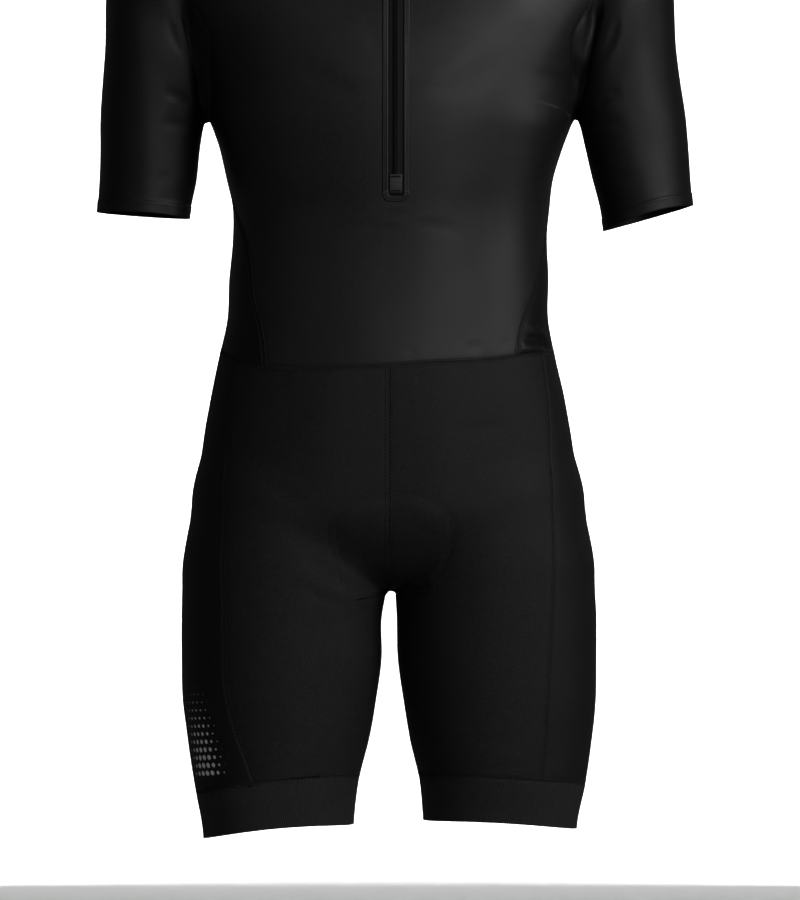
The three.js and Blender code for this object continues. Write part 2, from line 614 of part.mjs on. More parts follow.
  // Rings round the sleeve, point for point under the armhole
  const sleeveRing = (line, rise = 0) => {
    const ring = limbRing(armRings[side], sign, line, rise);
    const share = 0.03;
    return follow(
      alongRing(ring, 0.5 - share, 0, quads.armhole, arm),
      alongRing(ring, 0, -0.5 + share, quads.armhole, arm),
      alongRing(ring, -0.5 + share, -0.5 - share, quads.waistSide + 2 * quads.waistFlank, arm),
    ).slice(0, -1);
  };
  return {
    waistFront, waistFlankFront, waistSide, waistFlankBack, waistBack, sideFront, sideBack,
    armholeUnder, armholeFront, armholeBack, shoulder, neckFrontSeam, neckBackSeam, slitBelow, slitAbove, backLine,
    crotch, thighSeam, thighBackSeam, inseam, bandTop, bandHem, sleeveRing,
  };
}

const seams = { right: seamsOf("right"), left: seamsOf("left") };

// Seams that both sides share
const { right, left } = seams;
const centreFront = seam(
  [right.waistFront[0].point, frontAt(centreX, -540), frontAt(centreX, -600), at(centreX, -84, -635),
    at(centreX, -55, -660), at(centreX, -20, -676), right.crotch.point],
  quads.centreSeam, centreCore,
);
const centreBack = seam(
  [right.waistBack.at(-1).point, backAt(centreX, -520), backAt(centreX, -590), at(centreX, 100, -635),
    at(centreX, 75, -660), at(centreX, 40, -675), right.crotch.point],
  quads.centreSeam, centreCore,
);
for (const shared of [centreFront, centreBack]) shared[quads.centreSeam] = right.crotch;
const suit = new THREE.Group();

// The top's front and back: a half on each side, and one column of cloth between them. In the front it
// ends at the foot of the slit, and in the back at the neck.
const halfTop = (waist, inner, one, outer) =>
  patch({ bottom: waist, top: reversed(one.shoulder), left: inner, right: outer }, yokeCore);
const halfFront = (one, waist) =>
  halfTop(
    waist,
    follow(one.slitBelow, one.slitAbove, reversed(one.neckFrontSeam)),
    one,
    [...one.sideFront, ...one.armholeFront],
  );
const halfBack = (one, waist) =>
  halfTop(waist, follow(one.backLine, reversed(one.neckBackSeam)), one, [...one.sideBack, ...one.armholeBack]);
const bothHalves = (rightHalf, leftHalf) => rightHalf.map((row, i) => [...reversed(row), ...leftHalf[i]]);
const middleColumn = quads.shoulder;
suit.add(
  clothPiece(
    "front",
    finish.topKnit,
    bothHalves(halfFront(right, right.waistFront), halfFront(left, left.waistFront.slice(1))),
    { open: (i, j) => j === middleColumn && i >= quads.slitFoot },
  ),
  clothPiece(
    "back",
    finish.topKnit,
    bothHalves(
      halfBack(right, reversed(right.waistBack)),
      halfBack(left, reversed(left.waistBack.slice(0, -1))),
    ),
    { open: (i, j) => j === middleColumn && i >= quads.sideSeam + quads.armhole - quads.neckBack },
  ),
);

// The collar stands on the neckline and ends at the slit on each side.
const collarHeight = 28;
const neckline = [
  ...follow(reversed(right.neckFrontSeam), right.neckBackSeam),
  ...follow(reversed(left.neckBackSeam), left.neckFrontSeam),
];
const collarRise = (rise) =>
  neckline.map(({ point }, j) => {
    const end = j === 0 || j === neckline.length - 1;
    return onForm(point.clone().add(at(0, 0, rise)), end ? zipCore : neckCore);
  });
const collarRows = Array.from({ length: quads.collar + 1 }, (_, i) =>
  i ? collarRise((collarHeight * i) / quads.collar) : neckline,
);
suit.add(clothPiece("collar", finish.topKnit, collarRows));

for (const side of ["right", "left"]) {
  const one = seams[side];
  suit.add(
    clothPiece(
      `side_${side}`,
      finish.topKnit,
      patch(
        {
          bottom: follow(one.waistFlankFront, one.waistSide, one.waistFlankBack),
          top: one.armholeUnder,
          left: [...one.sideFront, one.armholeUnder[0]],
          right: [...one.sideBack, one.armholeUnder.at(-1)],
        },
        torsoCore,
      ),
    ),
  );

  const armholeRing = follow(
    one.armholeFront, reversed(one.armholeBack), reversed(one.armholeUnder),
  ).slice(0, -1);
  const hem = sleeveHemLine[side];
  const sleeveRows = rowsBetween(
    one.sleeveRing(hem, sleeveHem), armholeRing, quads.sleeve, armCore(side), one.sleeveRing(sleeveBend),
  );
  const turned = [one.sleeveRing(hem), one.sleeveRing(hem, sleeveHem - foldLift)];
  suit.add(
    clothPiece(`sleeve_${side}`, finish.topKnit, [...turned, ...sleeveRows], {
      around: true,
      lift: (i) => (i < turned.length ? foldLift : 0),
    }),
  );

  const core = shortsCore(side);
  suit.add(
    clothPiece(
      `shorts_front_${side}`,
      finish.shortsKnit,
      patch(
        {
          bottom: one.bandTop.front,
          top: follow(one.waistFront, one.waistFlankFront),
          left: reversed(follow(centreFront, one.inseam)),
          right: reversed(one.thighSeam),
        },
        core,
      ),
    ),
    clothPiece(
      `thigh_side_${side}`,
      finish.shortsKnit,
      patch(
        {
          bottom: one.bandTop.side,
          top: one.waistSide,
          left: reversed(one.thighSeam),
          right: reversed(one.thighBackSeam),
        },
        core,
      ),
    ),
    clothPiece(
      `shorts_back_${side}`,
      finish.shortsKnit,
      patch(
        {
          bottom: one.bandTop.back,
          top: follow(one.waistFlankBack, one.waistBack),
          left: reversed(one.thighBackSeam),
          right: reversed(follow(centreBack, one.inseam)),
        },
        core,
      ),
    ),
  );

  const ringOf = ({ front, side: flank, back }) => follow(front, flank, back).slice(0, -1);
  suit.add(
    clothPiece(
      `leg_band_${side}`,
      finish.bandKnit,
      rowsBetween(ringOf(one.bandHem), ringOf(one.bandTop), quads.band, core),
      { around: true, lift: () => foldLift / 2 },
    ),
  );
}

// The zip: a strip of points between two lines beside its middle, closer together where the neck bends.
const zipSteps = { chest: 18, neck: 6, bendZ: -95 };
const zipHeights = [];
for (let z = zipEndZ; z < 0; z += z < zipSteps.bendZ ? zipSteps.chest : zipSteps.neck) zipHeights.push(z);
function zipStrip(name, material, { from, to, low = -Infinity, high = Infinity, lift, wall }) {
  const heights = [low, ...zipHeights.filter((z) => z > low + 2 && z < high - 2), high].filter(Number.isFinite);
  const rows = heights.map((z) =>
    [from, to].map((offset) => onForm(at(zipX + offset, z > -60 ? -58 : -100, z), zipCore)),
  );
  return clothPiece(name, material, rows, { lift: () => lift, wall, inset: false });
}
const tape = { edge: zipSlot / 2 - 0.4, middle: 0.2, recess: 0.3, wall: 1.4 };
const coil = { half: 2, low: -295.5, high: -21.5, height: 1.2 };
const tapeEnds = { low: zipEndZ + 0.6, high: -20.8 };
suit.add(
  zipStrip("zip_tape_right", finish.tape, {
    from: -tape.edge, to: -tape.middle, ...tapeEnds, lift: -tape.recess, wall: tape.wall,
  }),
  zipStrip("zip_tape_left", finish.tape, {
    from: tape.middle, to: tape.edge, ...tapeEnds, lift: -tape.recess, wall: tape.wall,
  }),
  zipStrip("zip_coil", finish.plastic, {
    from: -coil.half, to: coil.half, low: coil.low, high: coil.high, lift: coil.height, wall: 0,
  }),
  zipStrip("zip_stop", finish.plastic, { from: -5.5, to: 5.5, low: -313, high: -296.5, lift: 1, wall: 0 }),
);

// The slider's plate with its bail, and the pull tab that hangs from the bail.
const slider = { z: -31, width: 8, length: 10.5, plate: 1.6, bail: 1, hole: 2.6, bailWidth: 2.4 };
const pull = { width: 6.4, length: 21, thick: 1.2, bar: 1.2, window: 5.2, side: 1.5 };
const clearance = 0.5;

function solidOf(geometry) {
  const bare = geometry.clone();
  bare.deleteAttribute("normal");
  bare.deleteAttribute("uv");
  const merged = mergeVertices(bare, 1e-4);
  return new manifold.Manifold(
    new manifold.Mesh({
      numProp: 3,
      vertProperties: merged.attributes.position.array,
      triVerts: new Uint32Array(merged.index.array),
    }),
  );
}
function geometryOf(solid) {
  const mesh = solid.getMesh();
  const geometry = new THREE.BufferGeometry();
  geometry.setAttribute("position", new THREE.BufferAttribute(mesh.vertProperties.slice(), 3));
  geometry.setIndex(new THREE.BufferAttribute(mesh.triVerts.slice(), 1));
  geometry.computeVertexNormals();
  return geometry;
}
function roundedShape(width, bottom, top, radius) {
  const shape = new THREE.Shape();
  const half = width / 2;
  shape.absarc(half - radius, top - radius, radius, 0, Math.PI / 2);
  shape.absarc(-half + radius, top - radius, radius, Math.PI / 2, Math.PI);
  shape.absarc(-half + radius, bottom + radius, radius, Math.PI, 1.5 * Math.PI);
  shape.absarc(half - radius, bottom + radius, radius, 1.5 * Math.PI, 2 * Math.PI);
  return shape;
}
const extrude = (shape, depth) =>
  new THREE.ExtrudeGeometry(shape, { depth, bevelEnabled: false, curveSegments: 4 });

// The slider's own frame: x across, y up the zip and z out of the cloth, on the zip's middle line.
const sliderSeat = onForm(at(zipX, -58, slider.z), zipCore);
const outOfZip = sliderSeat.out.clone().setX(0).normalize();
const upTheZip = at(0, -outOfZip.z, outOfZip.y).multiplyScalar(-1).normalize();
const sliderFrame = new THREE.Matrix4().makeBasis(at(1, 0, 0), upTheZip, outOfZip).setPosition(sliderSeat.point);
const plateFrom = coil.height + clearance;
const plateTop = plateFrom + slider.plate;
const plate = extrude(roundedShape(slider.width, -slider.length / 2, slider.length / 2, 1.5), slider.plate)
  .translate(0, 0, plateFrom);
const bailShape = roundedShape(
  slider.hole + 2 * slider.bail, plateTop - 0.2, plateTop + slider.hole + slider.bail, 1,
);
const bailHole = new THREE.Path();
bailHole.setFromPoints([
  new THREE.Vector2(-slider.hole / 2, plateTop), new THREE.Vector2(-slider.hole / 2, plateTop + slider.hole),
  new THREE.Vector2(slider.hole / 2, plateTop + slider.hole), new THREE.Vector2(slider.hole / 2, plateTop),
]);
bailShape.holes.push(bailHole);
const bail = extrude(bailShape, slider.bailWidth)
  .translate(0, 0, -slider.bailWidth / 2)
  .applyMatrix4(new THREE.Matrix4().makeBasis(at(0, 1, 0), at(0, 0, 1), at(1, 0, 0)));
const sliderMesh = named("zip_slider", geometryOf(solidOf(plate).add(solidOf(bail))), finish.metal);
sliderMesh.applyMatrix4(sliderFrame);
suit.add(sliderMesh);

// The pull hangs from the middle of the bail's hole, its tip just clear of the coil.
const pivot = at(0, 0, plateTop + slider.hole / 2).applyMatrix4(sliderFrame);
const pullShape = roundedShape(pull.width, -pull.length, pull.bar / 2, 1);
const windowHalf = pull.width / 2 - pull.side;
const pullWindow = new THREE.Path();
pullWindow.setFromPoints([
  new THREE.Vector2(-windowHalf, -pull.bar / 2), new THREE.Vector2(windowHalf, -pull.bar / 2),
  new THREE.Vector2(windowHalf, -pull.window), new THREE.Vector2(-windowHalf, -pull.window),
]);
pullShape.holes.push(pullWindow);
const pullGeometry = extrude(pullShape, pull.thick).translate(0, 0, -pull.thick / 2);
const clearOfCoil = coil.height + clearance + pull.thick / 2;
let lean = 0;
const tipAt = (angle, along) =>
  pivot.clone().add(at(0, -Math.sin(angle), -Math.cos(angle)).multiplyScalar(along));
while ([0.4, 0.6, 0.8, 0.9, 1].some((share) => outside(tipAt(lean, pull.length * share)) < clearOfCoil)) lean += 0.005;
const pullMesh = named("zip_pull", pullGeometry, finish.metal);
pullMesh.applyMatrix4(
  new THREE.Matrix4()
    .makeBasis(at(1, 0, 0), at(0, Math.sin(lean), Math.cos(lean)), at(0, -Math.cos(lean), Math.sin(lean)))
    .setPosition(pivot),
);
suit.add(pullMesh);

export default suit;
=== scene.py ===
"""A worn one-piece triathlon suit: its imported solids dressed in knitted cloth, sewing and a fine zip.

Tables and sizes are in millimetres in the suit's own frame: +Z up, the front faces -Y, and left is the
wearer's own left, +X. Meshes are in metres.
"""

import logging
import math
from collections.abc import Callable, Sequence
from dataclasses import dataclass, field
from enum import Enum

import bmesh
import bpy
import numpy as np
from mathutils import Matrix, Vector


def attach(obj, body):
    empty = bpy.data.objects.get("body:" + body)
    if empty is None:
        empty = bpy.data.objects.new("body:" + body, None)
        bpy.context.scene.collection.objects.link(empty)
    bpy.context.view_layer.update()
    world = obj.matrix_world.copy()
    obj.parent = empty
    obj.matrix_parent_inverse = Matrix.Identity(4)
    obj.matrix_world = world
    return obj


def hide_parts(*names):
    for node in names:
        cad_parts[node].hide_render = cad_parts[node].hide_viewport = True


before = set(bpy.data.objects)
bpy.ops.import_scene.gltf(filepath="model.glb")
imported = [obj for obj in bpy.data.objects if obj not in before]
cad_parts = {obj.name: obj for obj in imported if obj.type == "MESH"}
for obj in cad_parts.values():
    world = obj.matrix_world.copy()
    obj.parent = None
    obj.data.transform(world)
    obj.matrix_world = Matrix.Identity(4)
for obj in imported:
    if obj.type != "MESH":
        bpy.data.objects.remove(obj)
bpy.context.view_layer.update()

log = logging.getLogger("suit")
Points = np.ndarray
Core = Callable[[Points], Points]

FINE = 5  # quads of cloth for each quad of the solid
GARMENT, PULL = "garment", "zip_pull"
CENTRE_X = -3.0  # centre seam of the shorts
ZIP_X = 3.7  # middle of the zip
ZIP_SLOT = 14.0  # width of the slit
ZIP_END = -316.0  # foot of the slit
CROTCH = (CENTRE_X, 12.0, -679.0)
SLEEVE_HEM = 11.0  # depth of the turned hem
COLLAR = 28.0  # height of the collar
WALL = 1.3  # thickness of the cloth


def points(*rows: Sequence[float]) -> Points:
    """Returns rows of numbers as an array of points."""
    return np.array(rows, float)


def columns(*values: Points | float) -> Points:
    """Returns points whose x, y and z are these columns, each broadcast to the longest."""
    return np.stack(np.broadcast_arrays(*values), axis=-1).astype(float)


def unit(vectors: Points) -> Points:
    """Returns the vectors at length 1."""
    return vectors / np.maximum(np.linalg.norm(vectors, axis=-1, keepdims=True), 1e-9)


def eased(value: Points | float, low: float, high: float) -> Points:
    """Returns 0 below low, 1 above high and an easy rise between them."""
    share = np.clip((value - low) / (high - low), 0, 1)
    return share * share * (3 - 2 * share)


@dataclass(frozen=True)
class Tube:
    """A limb or trunk of the figure that wears the suit.

    Attributes:
        rows: Sections from the top down: height, middle in X, half the width, centre in Y, depth in
            front, depth behind, and squareness.
        top: Heights where a round top end is full and where it ends.
        bottom: The same for a round bottom end.
    """

    rows: tuple[tuple[float, ...], ...]
    top: tuple[float, float] | None = None
    bottom: tuple[float, float] | None = None

    def ring(self, height: Points) -> Points:
        """Returns the sections' six columns at the heights, eased from row to row.

        Args:
            height: Heights in millimetres.

        Returns:
            An array of six rows, one for each column after the height.
        """
        table = np.array(self.rows, float)
        levels = table[:, 0]
        z = np.clip(height, levels[-1], levels[0])
        k = np.clip(np.searchsorted(-levels, -z, side="right") - 1, 0, len(levels) - 2)
        before, after = np.maximum(k - 1, 0), np.minimum(k + 2, len(levels) - 1)
        span = (levels[k] - levels[k + 1])[:, None]
        t = (levels[k] - z)[:, None] / span
        start, end = table[k, 1:], table[k + 1, 1:]
        leave = (end - table[before, 1:]) * span / (levels[before] - levels[k + 1])[:, None]
        arrive = (table[after, 1:] - start) * span / (levels[k] - levels[after])[:, None]
        rise = end - start
        bend = 3 * rise - 2 * leave - arrive + t * (leave + arrive - 2 * rise)
        return (start + t * (leave + t * bend)).T

    def outside(self, p: Points) -> Points:
        """Returns about how far each point lies outside the tube, less than 0 inside."""
        middle, half, centre, front, back, square = self.ring(p[:, 2])
        z = p[:, 2]
        t = np.zeros(len(p))
        past = np.zeros(len(p))
        if self.top:
            t = np.maximum(t, (z - self.top[0]) / (self.top[1] - self.top[0]))
            past = np.maximum(past, z - self.top[1])
        if self.bottom:
            t = np.maximum(t, (self.bottom[0] - z) / (self.bottom[0] - self.bottom[1]))
            past = np.maximum(past, self.bottom[1] - z)
        full = np.sqrt(np.maximum(1 - t * t, 1e-6))
        dx, dy = p[:, 0] - middle, p[:, 1] - centre
        away = np.hypot(dx, dy)
        depth = np.where(dy < 0, front, back)
        share = (np.abs(dx) / half) ** square + (np.abs(dy) / depth) ** square
        radius = np.where(away < 1e-6, half, away / np.maximum(share, 1e-12) ** (1 / square))
        return away - radius * full + past


class Side(Enum):
    """One side of the suit, the wearer's own, as the sign of X."""

    RIGHT = -1
    LEFT = 1

    @property
    def word(self) -> str:
        """The side's name in lower case."""
        return self.name.lower()


TORSO = Tube(
    (
        (-30, 0, 222, 0, 46, 82, 2.2), (-50, 0, 222, 0, 64, 90, 2.2), (-80, 0, 220, 0, 83, 98, 2.3),
        (-110, 0, 212, 0, 98, 105, 2.3), (-140, 0, 196, 0, 108, 110, 2.4), (-170, 0, 181, 0, 115, 112, 2.4),
        (-205, -0.5, 171, 0, 118, 111, 2.4), (-242, -0.5, 168, 0, 117, 107, 2.4),
        (-270, -1, 159, 0, 114, 102, 2.4), (-298, -2, 151.5, 0, 110, 97, 2.4), (-325, -1, 147, 0, 106, 93, 2.3),
        (-353, -2, 146, 0, 103, 90, 2.3), (-390, -3, 148.5, 0, 101, 90, 2.3), (-428, -4, 149.5, 0, 101, 94, 2.3),
        (-465, -4.5, 157, 0, 102, 101, 2.2), (-502, -4, 165, 0, 103, 110, 2.2), (-540, -4, 171.5, 0, 103, 119, 2.2),
        (-577, -4, 176, 0, 102, 125, 2.2), (-614, -3, 178, 0, 99, 122, 2.2), (-650, -3, 178, 0, 94, 115, 2.2),
    ),
    top=(-110, 8),
    bottom=(-600, -678),
)
LEGS = {
    Side.RIGHT: Tube(
        (
            (-600, -93.5, 92, 4, 94, 110, 2.1), (-651, -99, 95.5, 4, 94, 107, 2.1), (-679, -100.5, 95, 5, 93, 103, 2.1),
            (-707, -103, 93, 5, 91, 98, 2.1), (-744, -103, 93, 6, 89, 94, 2.1), (-781, -105, 90, 7, 86, 90, 2.1),
            (-818, -106, 84.5, 8, 82, 86, 2.1), (-856, -108, 77, 8, 77, 80, 2.1), (-893, -106.5, 71, 8, 72, 75, 2.1),
            (-925, -105, 69, 8, 70, 72, 2.1),
        ),
        top=(-600, -520),
        bottom=(-930, -960),
    ),
    Side.LEFT: Tube(
        (
            (-600, 89, 89, 4, 94, 110, 2.1), (-651, 95, 93, 4, 94, 107, 2.1), (-679, 96, 93, 5, 93, 103, 2.1),
            (-707, 97.5, 93, 5, 91, 98, 2.1), (-744, 98, 92.5, 6, 89, 94, 2.1), (-781, 100.5, 89.5, 7, 86, 90, 2.1),
            (-818, 101.5, 84.5, 8, 82, 86, 2.1), (-856, 103, 77.5, 8, 77, 80, 2.1), (-893, 101, 72, 8, 72, 75, 2.1),
            (-925, 100.5, 70.5, 8, 70, 72, 2.1),
        ),
        top=(-600, -520),
        bottom=(-930, -960),
    ),
}
ARMS = {
    Side.RIGHT: Tube(
        (
            (-60, -203, 52, 8, 52, 54, 2), (-95, -210, 53, 7, 54, 55, 2), (-130, -214, 52.5, 6, 54, 54, 2),
            (-172, -216, 51, 5, 52, 52, 2), (-205, -219, 50, 4, 51, 51, 2), (-242, -223, 48.5, 2, 49, 50, 2),
            (-270, -225, 46.5, 0, 47, 48, 2), (-298, -227, 45.5, -1, 45.5, 46, 2), (-325, -230.5, 43.5, -2, 44, 45, 2),
            (-360, -234, 43, -3, 43, 44, 2),
        ),
        top=(-130, -38),
        bottom=(-370, -400),
    ),
    Side.LEFT: Tube(
        (
            (-60, 200, 52, 8, 52, 54, 2), (-95, 206, 53, 7, 54, 55, 2), (-130, 210, 52.5, 4, 54, 54, 2),
            (-172, 213, 51, 1, 52, 52, 2), (-205, 217.5, 50.5, -2, 51, 51, 2), (-242, 223.5, 50, -7, 49, 50, 2),
            (-270, 227.5, 48, -10, 47, 48, 2), (-298, 231.5, 45.5, -14, 45.5, 46, 2),
            (-325, 236, 43.5, -17, 44, 45, 2), (-360, 241, 43, -21, 43, 44, 2),
        ),
        top=(-130, -38),
        bottom=(-370, -400),
    ),
}
NECK = Tube(
    ((80, 4, 56, -6, 54, 55, 2), (40, 4, 57, -2, 55, 56, 2), (0, 4, 60, 4, 58, 58, 2), (-80, 4, 64, 2, 58, 60, 2)),
    bottom=(-80, -130),
)


@dataclass(frozen=True)
class Line:
    """Points on the form and the direction straight out of it at each."""

    at: Points
    out: Points

    def part(self, start: int | None = None, stop: int | None = None) -> "Line":
        """Returns a stretch of the line, from one index up to another."""
        return Line(self.at[start:stop], self.out[start:stop])

    def back(self) -> "Line":
        """Returns the line run the other way."""
        return Line(self.at[::-1], self.out[::-1])

    def then(self, *more: "Line") -> "Line":
        """Returns the line run on through others, each starting where the last one ended."""
        at = [self.at, *(one.at[1:] for one in more)]
        out = [self.out, *(one.out[1:] for one in more)]
        return Line(np.concatenate(at), np.concatenate(out))

    def pinned(self, first: Points | None = None, last: Points | None = None) -> "Line":
        """Returns the line with its first or last point put on a corner that it shares."""
        at = self.at.copy()
        if first is not None:
            at[0] = first
        if last is not None:
            at[-1] = last
        return Line(at, self.out)

    def places(self, index: Points) -> "Line":
        """Returns the line's points at indices that may fall between two points."""
        count = np.arange(len(self.at))
        at = [np.interp(index, count, self.at[:, k]) for k in range(3)]
        out = [np.interp(index, count, self.out[:, k]) for k in range(3)]
        return Line(np.stack(at, -1), unit(np.stack(out, -1)))


@dataclass(frozen=True)
class Figure:
    """The general figure that the suit is worn on: tubes run together with rounded corners."""

    neck_round: float = 22
    arm_round: float = 12
    hip_round: float = 12
    crotch_round: float = 10

    @staticmethod
    def join(a: Points, b: Points, reach: float) -> Points:
        """Returns the smaller of two distances, rounded out where they are alike."""
        near = np.maximum(reach - np.abs(a - b), 0) / reach
        return np.minimum(a, b) - near * near * reach / 4

    def outside(self, p: Points) -> Points:
        """Returns about how far each point lies outside the figure."""
        trunk = self.join(TORSO.outside(p), NECK.outside(p), self.neck_round)
        arms = np.minimum(ARMS[Side.RIGHT].outside(p), ARMS[Side.LEFT].outside(p))
        legs = self.join(LEGS[Side.RIGHT].outside(p), LEGS[Side.LEFT].outside(p), self.crotch_round)
        return self.join(self.join(trunk, arms, self.arm_round), legs, self.hip_round)

    def outward(self, p: Points) -> Points:
        """Returns the direction straight out of the figure at each point."""
        step = np.eye(3) * 0.5
        return unit(np.stack([self.outside(p + s) - self.outside(p - s) for s in step], axis=-1))

    def meet(self, guides: Points, cores: Points) -> Line:
        """Finds the points of the figure's surface on the way from cores to guide points.

        Args:
            guides: Points near the surface, one row each.
            cores: Points inside the figure, one row each.

        Returns:
            The points met and the directions out there.
        """
        way = unit(guides - cores)
        stride = 4.0
        near, far = np.zeros(len(guides)), np.full(len(guides), stride)
        live = np.arange(len(guides))
        while len(live):
            inside = self.outside(cores[live] + way[live] * far[live, None]) < 0
            live = live[inside & (far[live] < 400)]
            near[live] = far[live]
            far[live] += stride
        for _ in range(13):
            half = (near + far) / 2
            inside = self.outside(cores + way * half[:, None]) < 0
            near, far = np.where(inside, half, near), np.where(inside, far, half)
        at = cores + way * ((near + far) / 2)[:, None]
        return Line(at, self.outward(at))


FIGURE = Figure()


def torso_core(q: Points) -> Points:
    """Returns starts inside the torso for lines to its surface."""
    z = np.minimum(q[:, 2], -85)
    middle, half, _, front, _, _ = TORSO.ring(z)
    reach = half - 0.8 * front
    return columns(np.clip(q[:, 0], middle - reach, middle + reach), 0, z)


def neck_core(q: Points) -> Points:
    """Returns starts inside the neck."""
    return columns(4, 2, q[:, 2] - 45)


def yoke_core(q: Points) -> Points:
    """Returns starts inside the torso that run over to the neck's near its foot."""
    near = np.clip((115 - np.hypot(q[:, 0] - 4, q[:, 1] - 2)) / 50, 0, 1) * np.clip((q[:, 2] + 70) / 40, 0, 1)
    start = torso_core(q)
    return start + (neck_core(q) - start) * near[:, None]


def armhole_core(q: Points) -> Points:
    """Returns starts inside the shoulder for the armhole."""
    return columns(q[:, 0], 12, np.clip(q[:, 2], -200, -110))


def zip_core(q: Points) -> Points:
    """Returns starts straight behind the zip."""
    return columns(q[:, 0], 2, np.where(q[:, 2] > -60, q[:, 2] - 45, np.minimum(q[:, 2], -105)))


def centre_core(q: Points) -> Points:
    """Returns starts for the centre seam, front, under and back."""
    under = np.clip((-600 - q[:, 2]) / 60, 0, 1)
    return columns(q[:, 0], np.clip(q[:, 1], -30 * under, 5 + 40 * under), np.maximum(q[:, 2], -640))


def arm_core(side: Side) -> Core:
    """Returns the core of one arm."""

    def core(q: Points) -> Points:
        """Returns starts on the arm's own middle line."""
        z = np.clip(q[:, 2], -360, -130)
        ring = ARMS[side].ring(z)
        return columns(ring[0], ring[2], z)

    return core


def thigh_core(side: Side) -> Core:
    """Returns the core of one half of the shorts."""

    def core(q: Points) -> Points:
        """Returns starts inside the hip and thigh."""
        middle = LEGS[side].ring(q[:, 2])[0]
        split = np.clip((-600 - q[:, 2]) / 100, 0, 1)
        inner = CENTRE_X + (middle - CENTRE_X) * split * 0.7
        low, high = np.minimum(inner, middle * 1.1), np.maximum(inner, middle * 1.1)
        return columns(np.clip(q[:, 0], low, high), 5, q[:, 2])

    return core


def one(line: Line) -> Points:
    """Returns the single point of a line of one."""
    return line.at[0]


def front_at(rows: Sequence[tuple[float, float]]) -> Points:
    """Returns points on the front that show at these X and Z in the front view."""
    xz = np.array(rows, float)
    return FIGURE.meet(columns(xz[:, 0], -60, xz[:, 1]), columns(xz[:, 0], 0, xz[:, 1])).at


def back_at(rows: Sequence[tuple[float, float]]) -> Points:
    """Returns points on the back at these X and Z."""
    xz = np.array(rows, float)
    return FIGURE.meet(columns(xz[:, 0], 60, xz[:, 1]), columns(xz[:, 0], 0, xz[:, 1])).at


def side_at(side: Side, rows: Sequence[tuple[float, float]]) -> Points:
    """Returns points on one side at these Y and Z."""
    yz = np.array(rows, float)
    return FIGURE.meet(columns(side.value * 150, yz[:, 0], yz[:, 1]), columns(0, yz[:, 0], yz[:, 1])).at


@dataclass(frozen=True)
class Curve:
    """An easy curve through guide points."""

    guides: Points
    closed: bool = False

    def at(self, place: Points) -> Points:
        """Returns the curve's points at places from 0 to 1."""
        guides, count = self.guides, len(self.guides)
        if self.closed:
            reach = (place % 1) * count
            k = np.floor(reach).astype(int)
            p0, p1, p2, p3 = (guides[(k + step) % count] for step in (-1, 0, 1, 2))
        else:
            padded = np.concatenate([[2 * guides[0] - guides[1]], guides, [2 * guides[-1] - guides[-2]]])
            reach = np.clip(place, 0, 1) * (count - 1)
            k = np.minimum(np.floor(reach).astype(int), count - 2)
            p0, p1, p2, p3 = (padded[k + step] for step in (0, 1, 2, 3))
        t = (reach - k)[:, None]

        def gap(a: Points, b: Points) -> Points:
            """Returns the square roots of the distances between points."""
            return np.sqrt(np.maximum(np.linalg.norm(b - a, axis=1), 1e-4))[:, None]

        d0, d1, d2 = gap(p0, p1), gap(p1, p2), gap(p2, p3)
        leave = ((p1 - p0) / d0 - (p2 - p0) / (d0 + d1) + (p2 - p1) / d1) * d1
        arrive = ((p2 - p1) / d1 - (p3 - p1) / (d1 + d2) + (p3 - p2) / d2) * d1
        return p1 + t * (leave + t * (3 * (p2 - p1) - 2 * leave - arrive + t * (2 * (p1 - p2) + leave + arrive)))

    def spaced(self, count: int) -> Points:
        """Returns count + 1 points evenly spaced along the curve."""
        place = np.linspace(0, 1, 401)
        steps = np.linalg.norm(np.diff(self.at(place), axis=0), axis=1)
        run = np.concatenate([[0], np.cumsum(steps)])
        return self.at(np.interp(np.linspace(0, run[-1], count + 1), run, place))


def seam(guides: Points, count: int, core: Core) -> Line:
    """Lays a seam on the form along guide points.

    Args:
        guides: Points that the seam passes.
        count: Quads of the solid along it.
        core: Where lines to the surface start.

    Returns:
        The seam, with FINE points for each quad.
    """
    spaced = Curve(guides).spaced(count * FINE)
    return FIGURE.meet(spaced, core(spaced))


@dataclass(frozen=True)
class Grid:
    """A four-sided stretch of cloth: rows of points from its bottom seam to its top seam."""

    at: Points
    out: Points

    def uv(self) -> Points:
        """Returns how far each point lies from the middle of its row and the foot of its column."""
        across = np.linalg.norm(np.diff(self.at, axis=1), axis=2)
        along = np.linalg.norm(np.diff(self.at, axis=0), axis=2)
        u = np.concatenate([np.zeros((len(self.at), 1)), np.cumsum(across, axis=1)], axis=1)
        v = np.concatenate([np.zeros((1, self.at.shape[1])), np.cumsum(along, axis=0)], axis=0)
        return np.stack([u - u[:, self.at.shape[1] // 2, None], v], axis=-1)


def graded(count: int, first: bool = True, last: bool = True) -> Points:
    """Returns indices from 0 to count, closer together at the ends that are sewn."""
    inside = np.arange(1.0, count)
    start = [0.0, 0.3, 0.64] if first else [0.0]
    end = [count - 0.64, count - 0.3, float(count)] if last else [float(count)]
    return np.concatenate([start, inside, end])


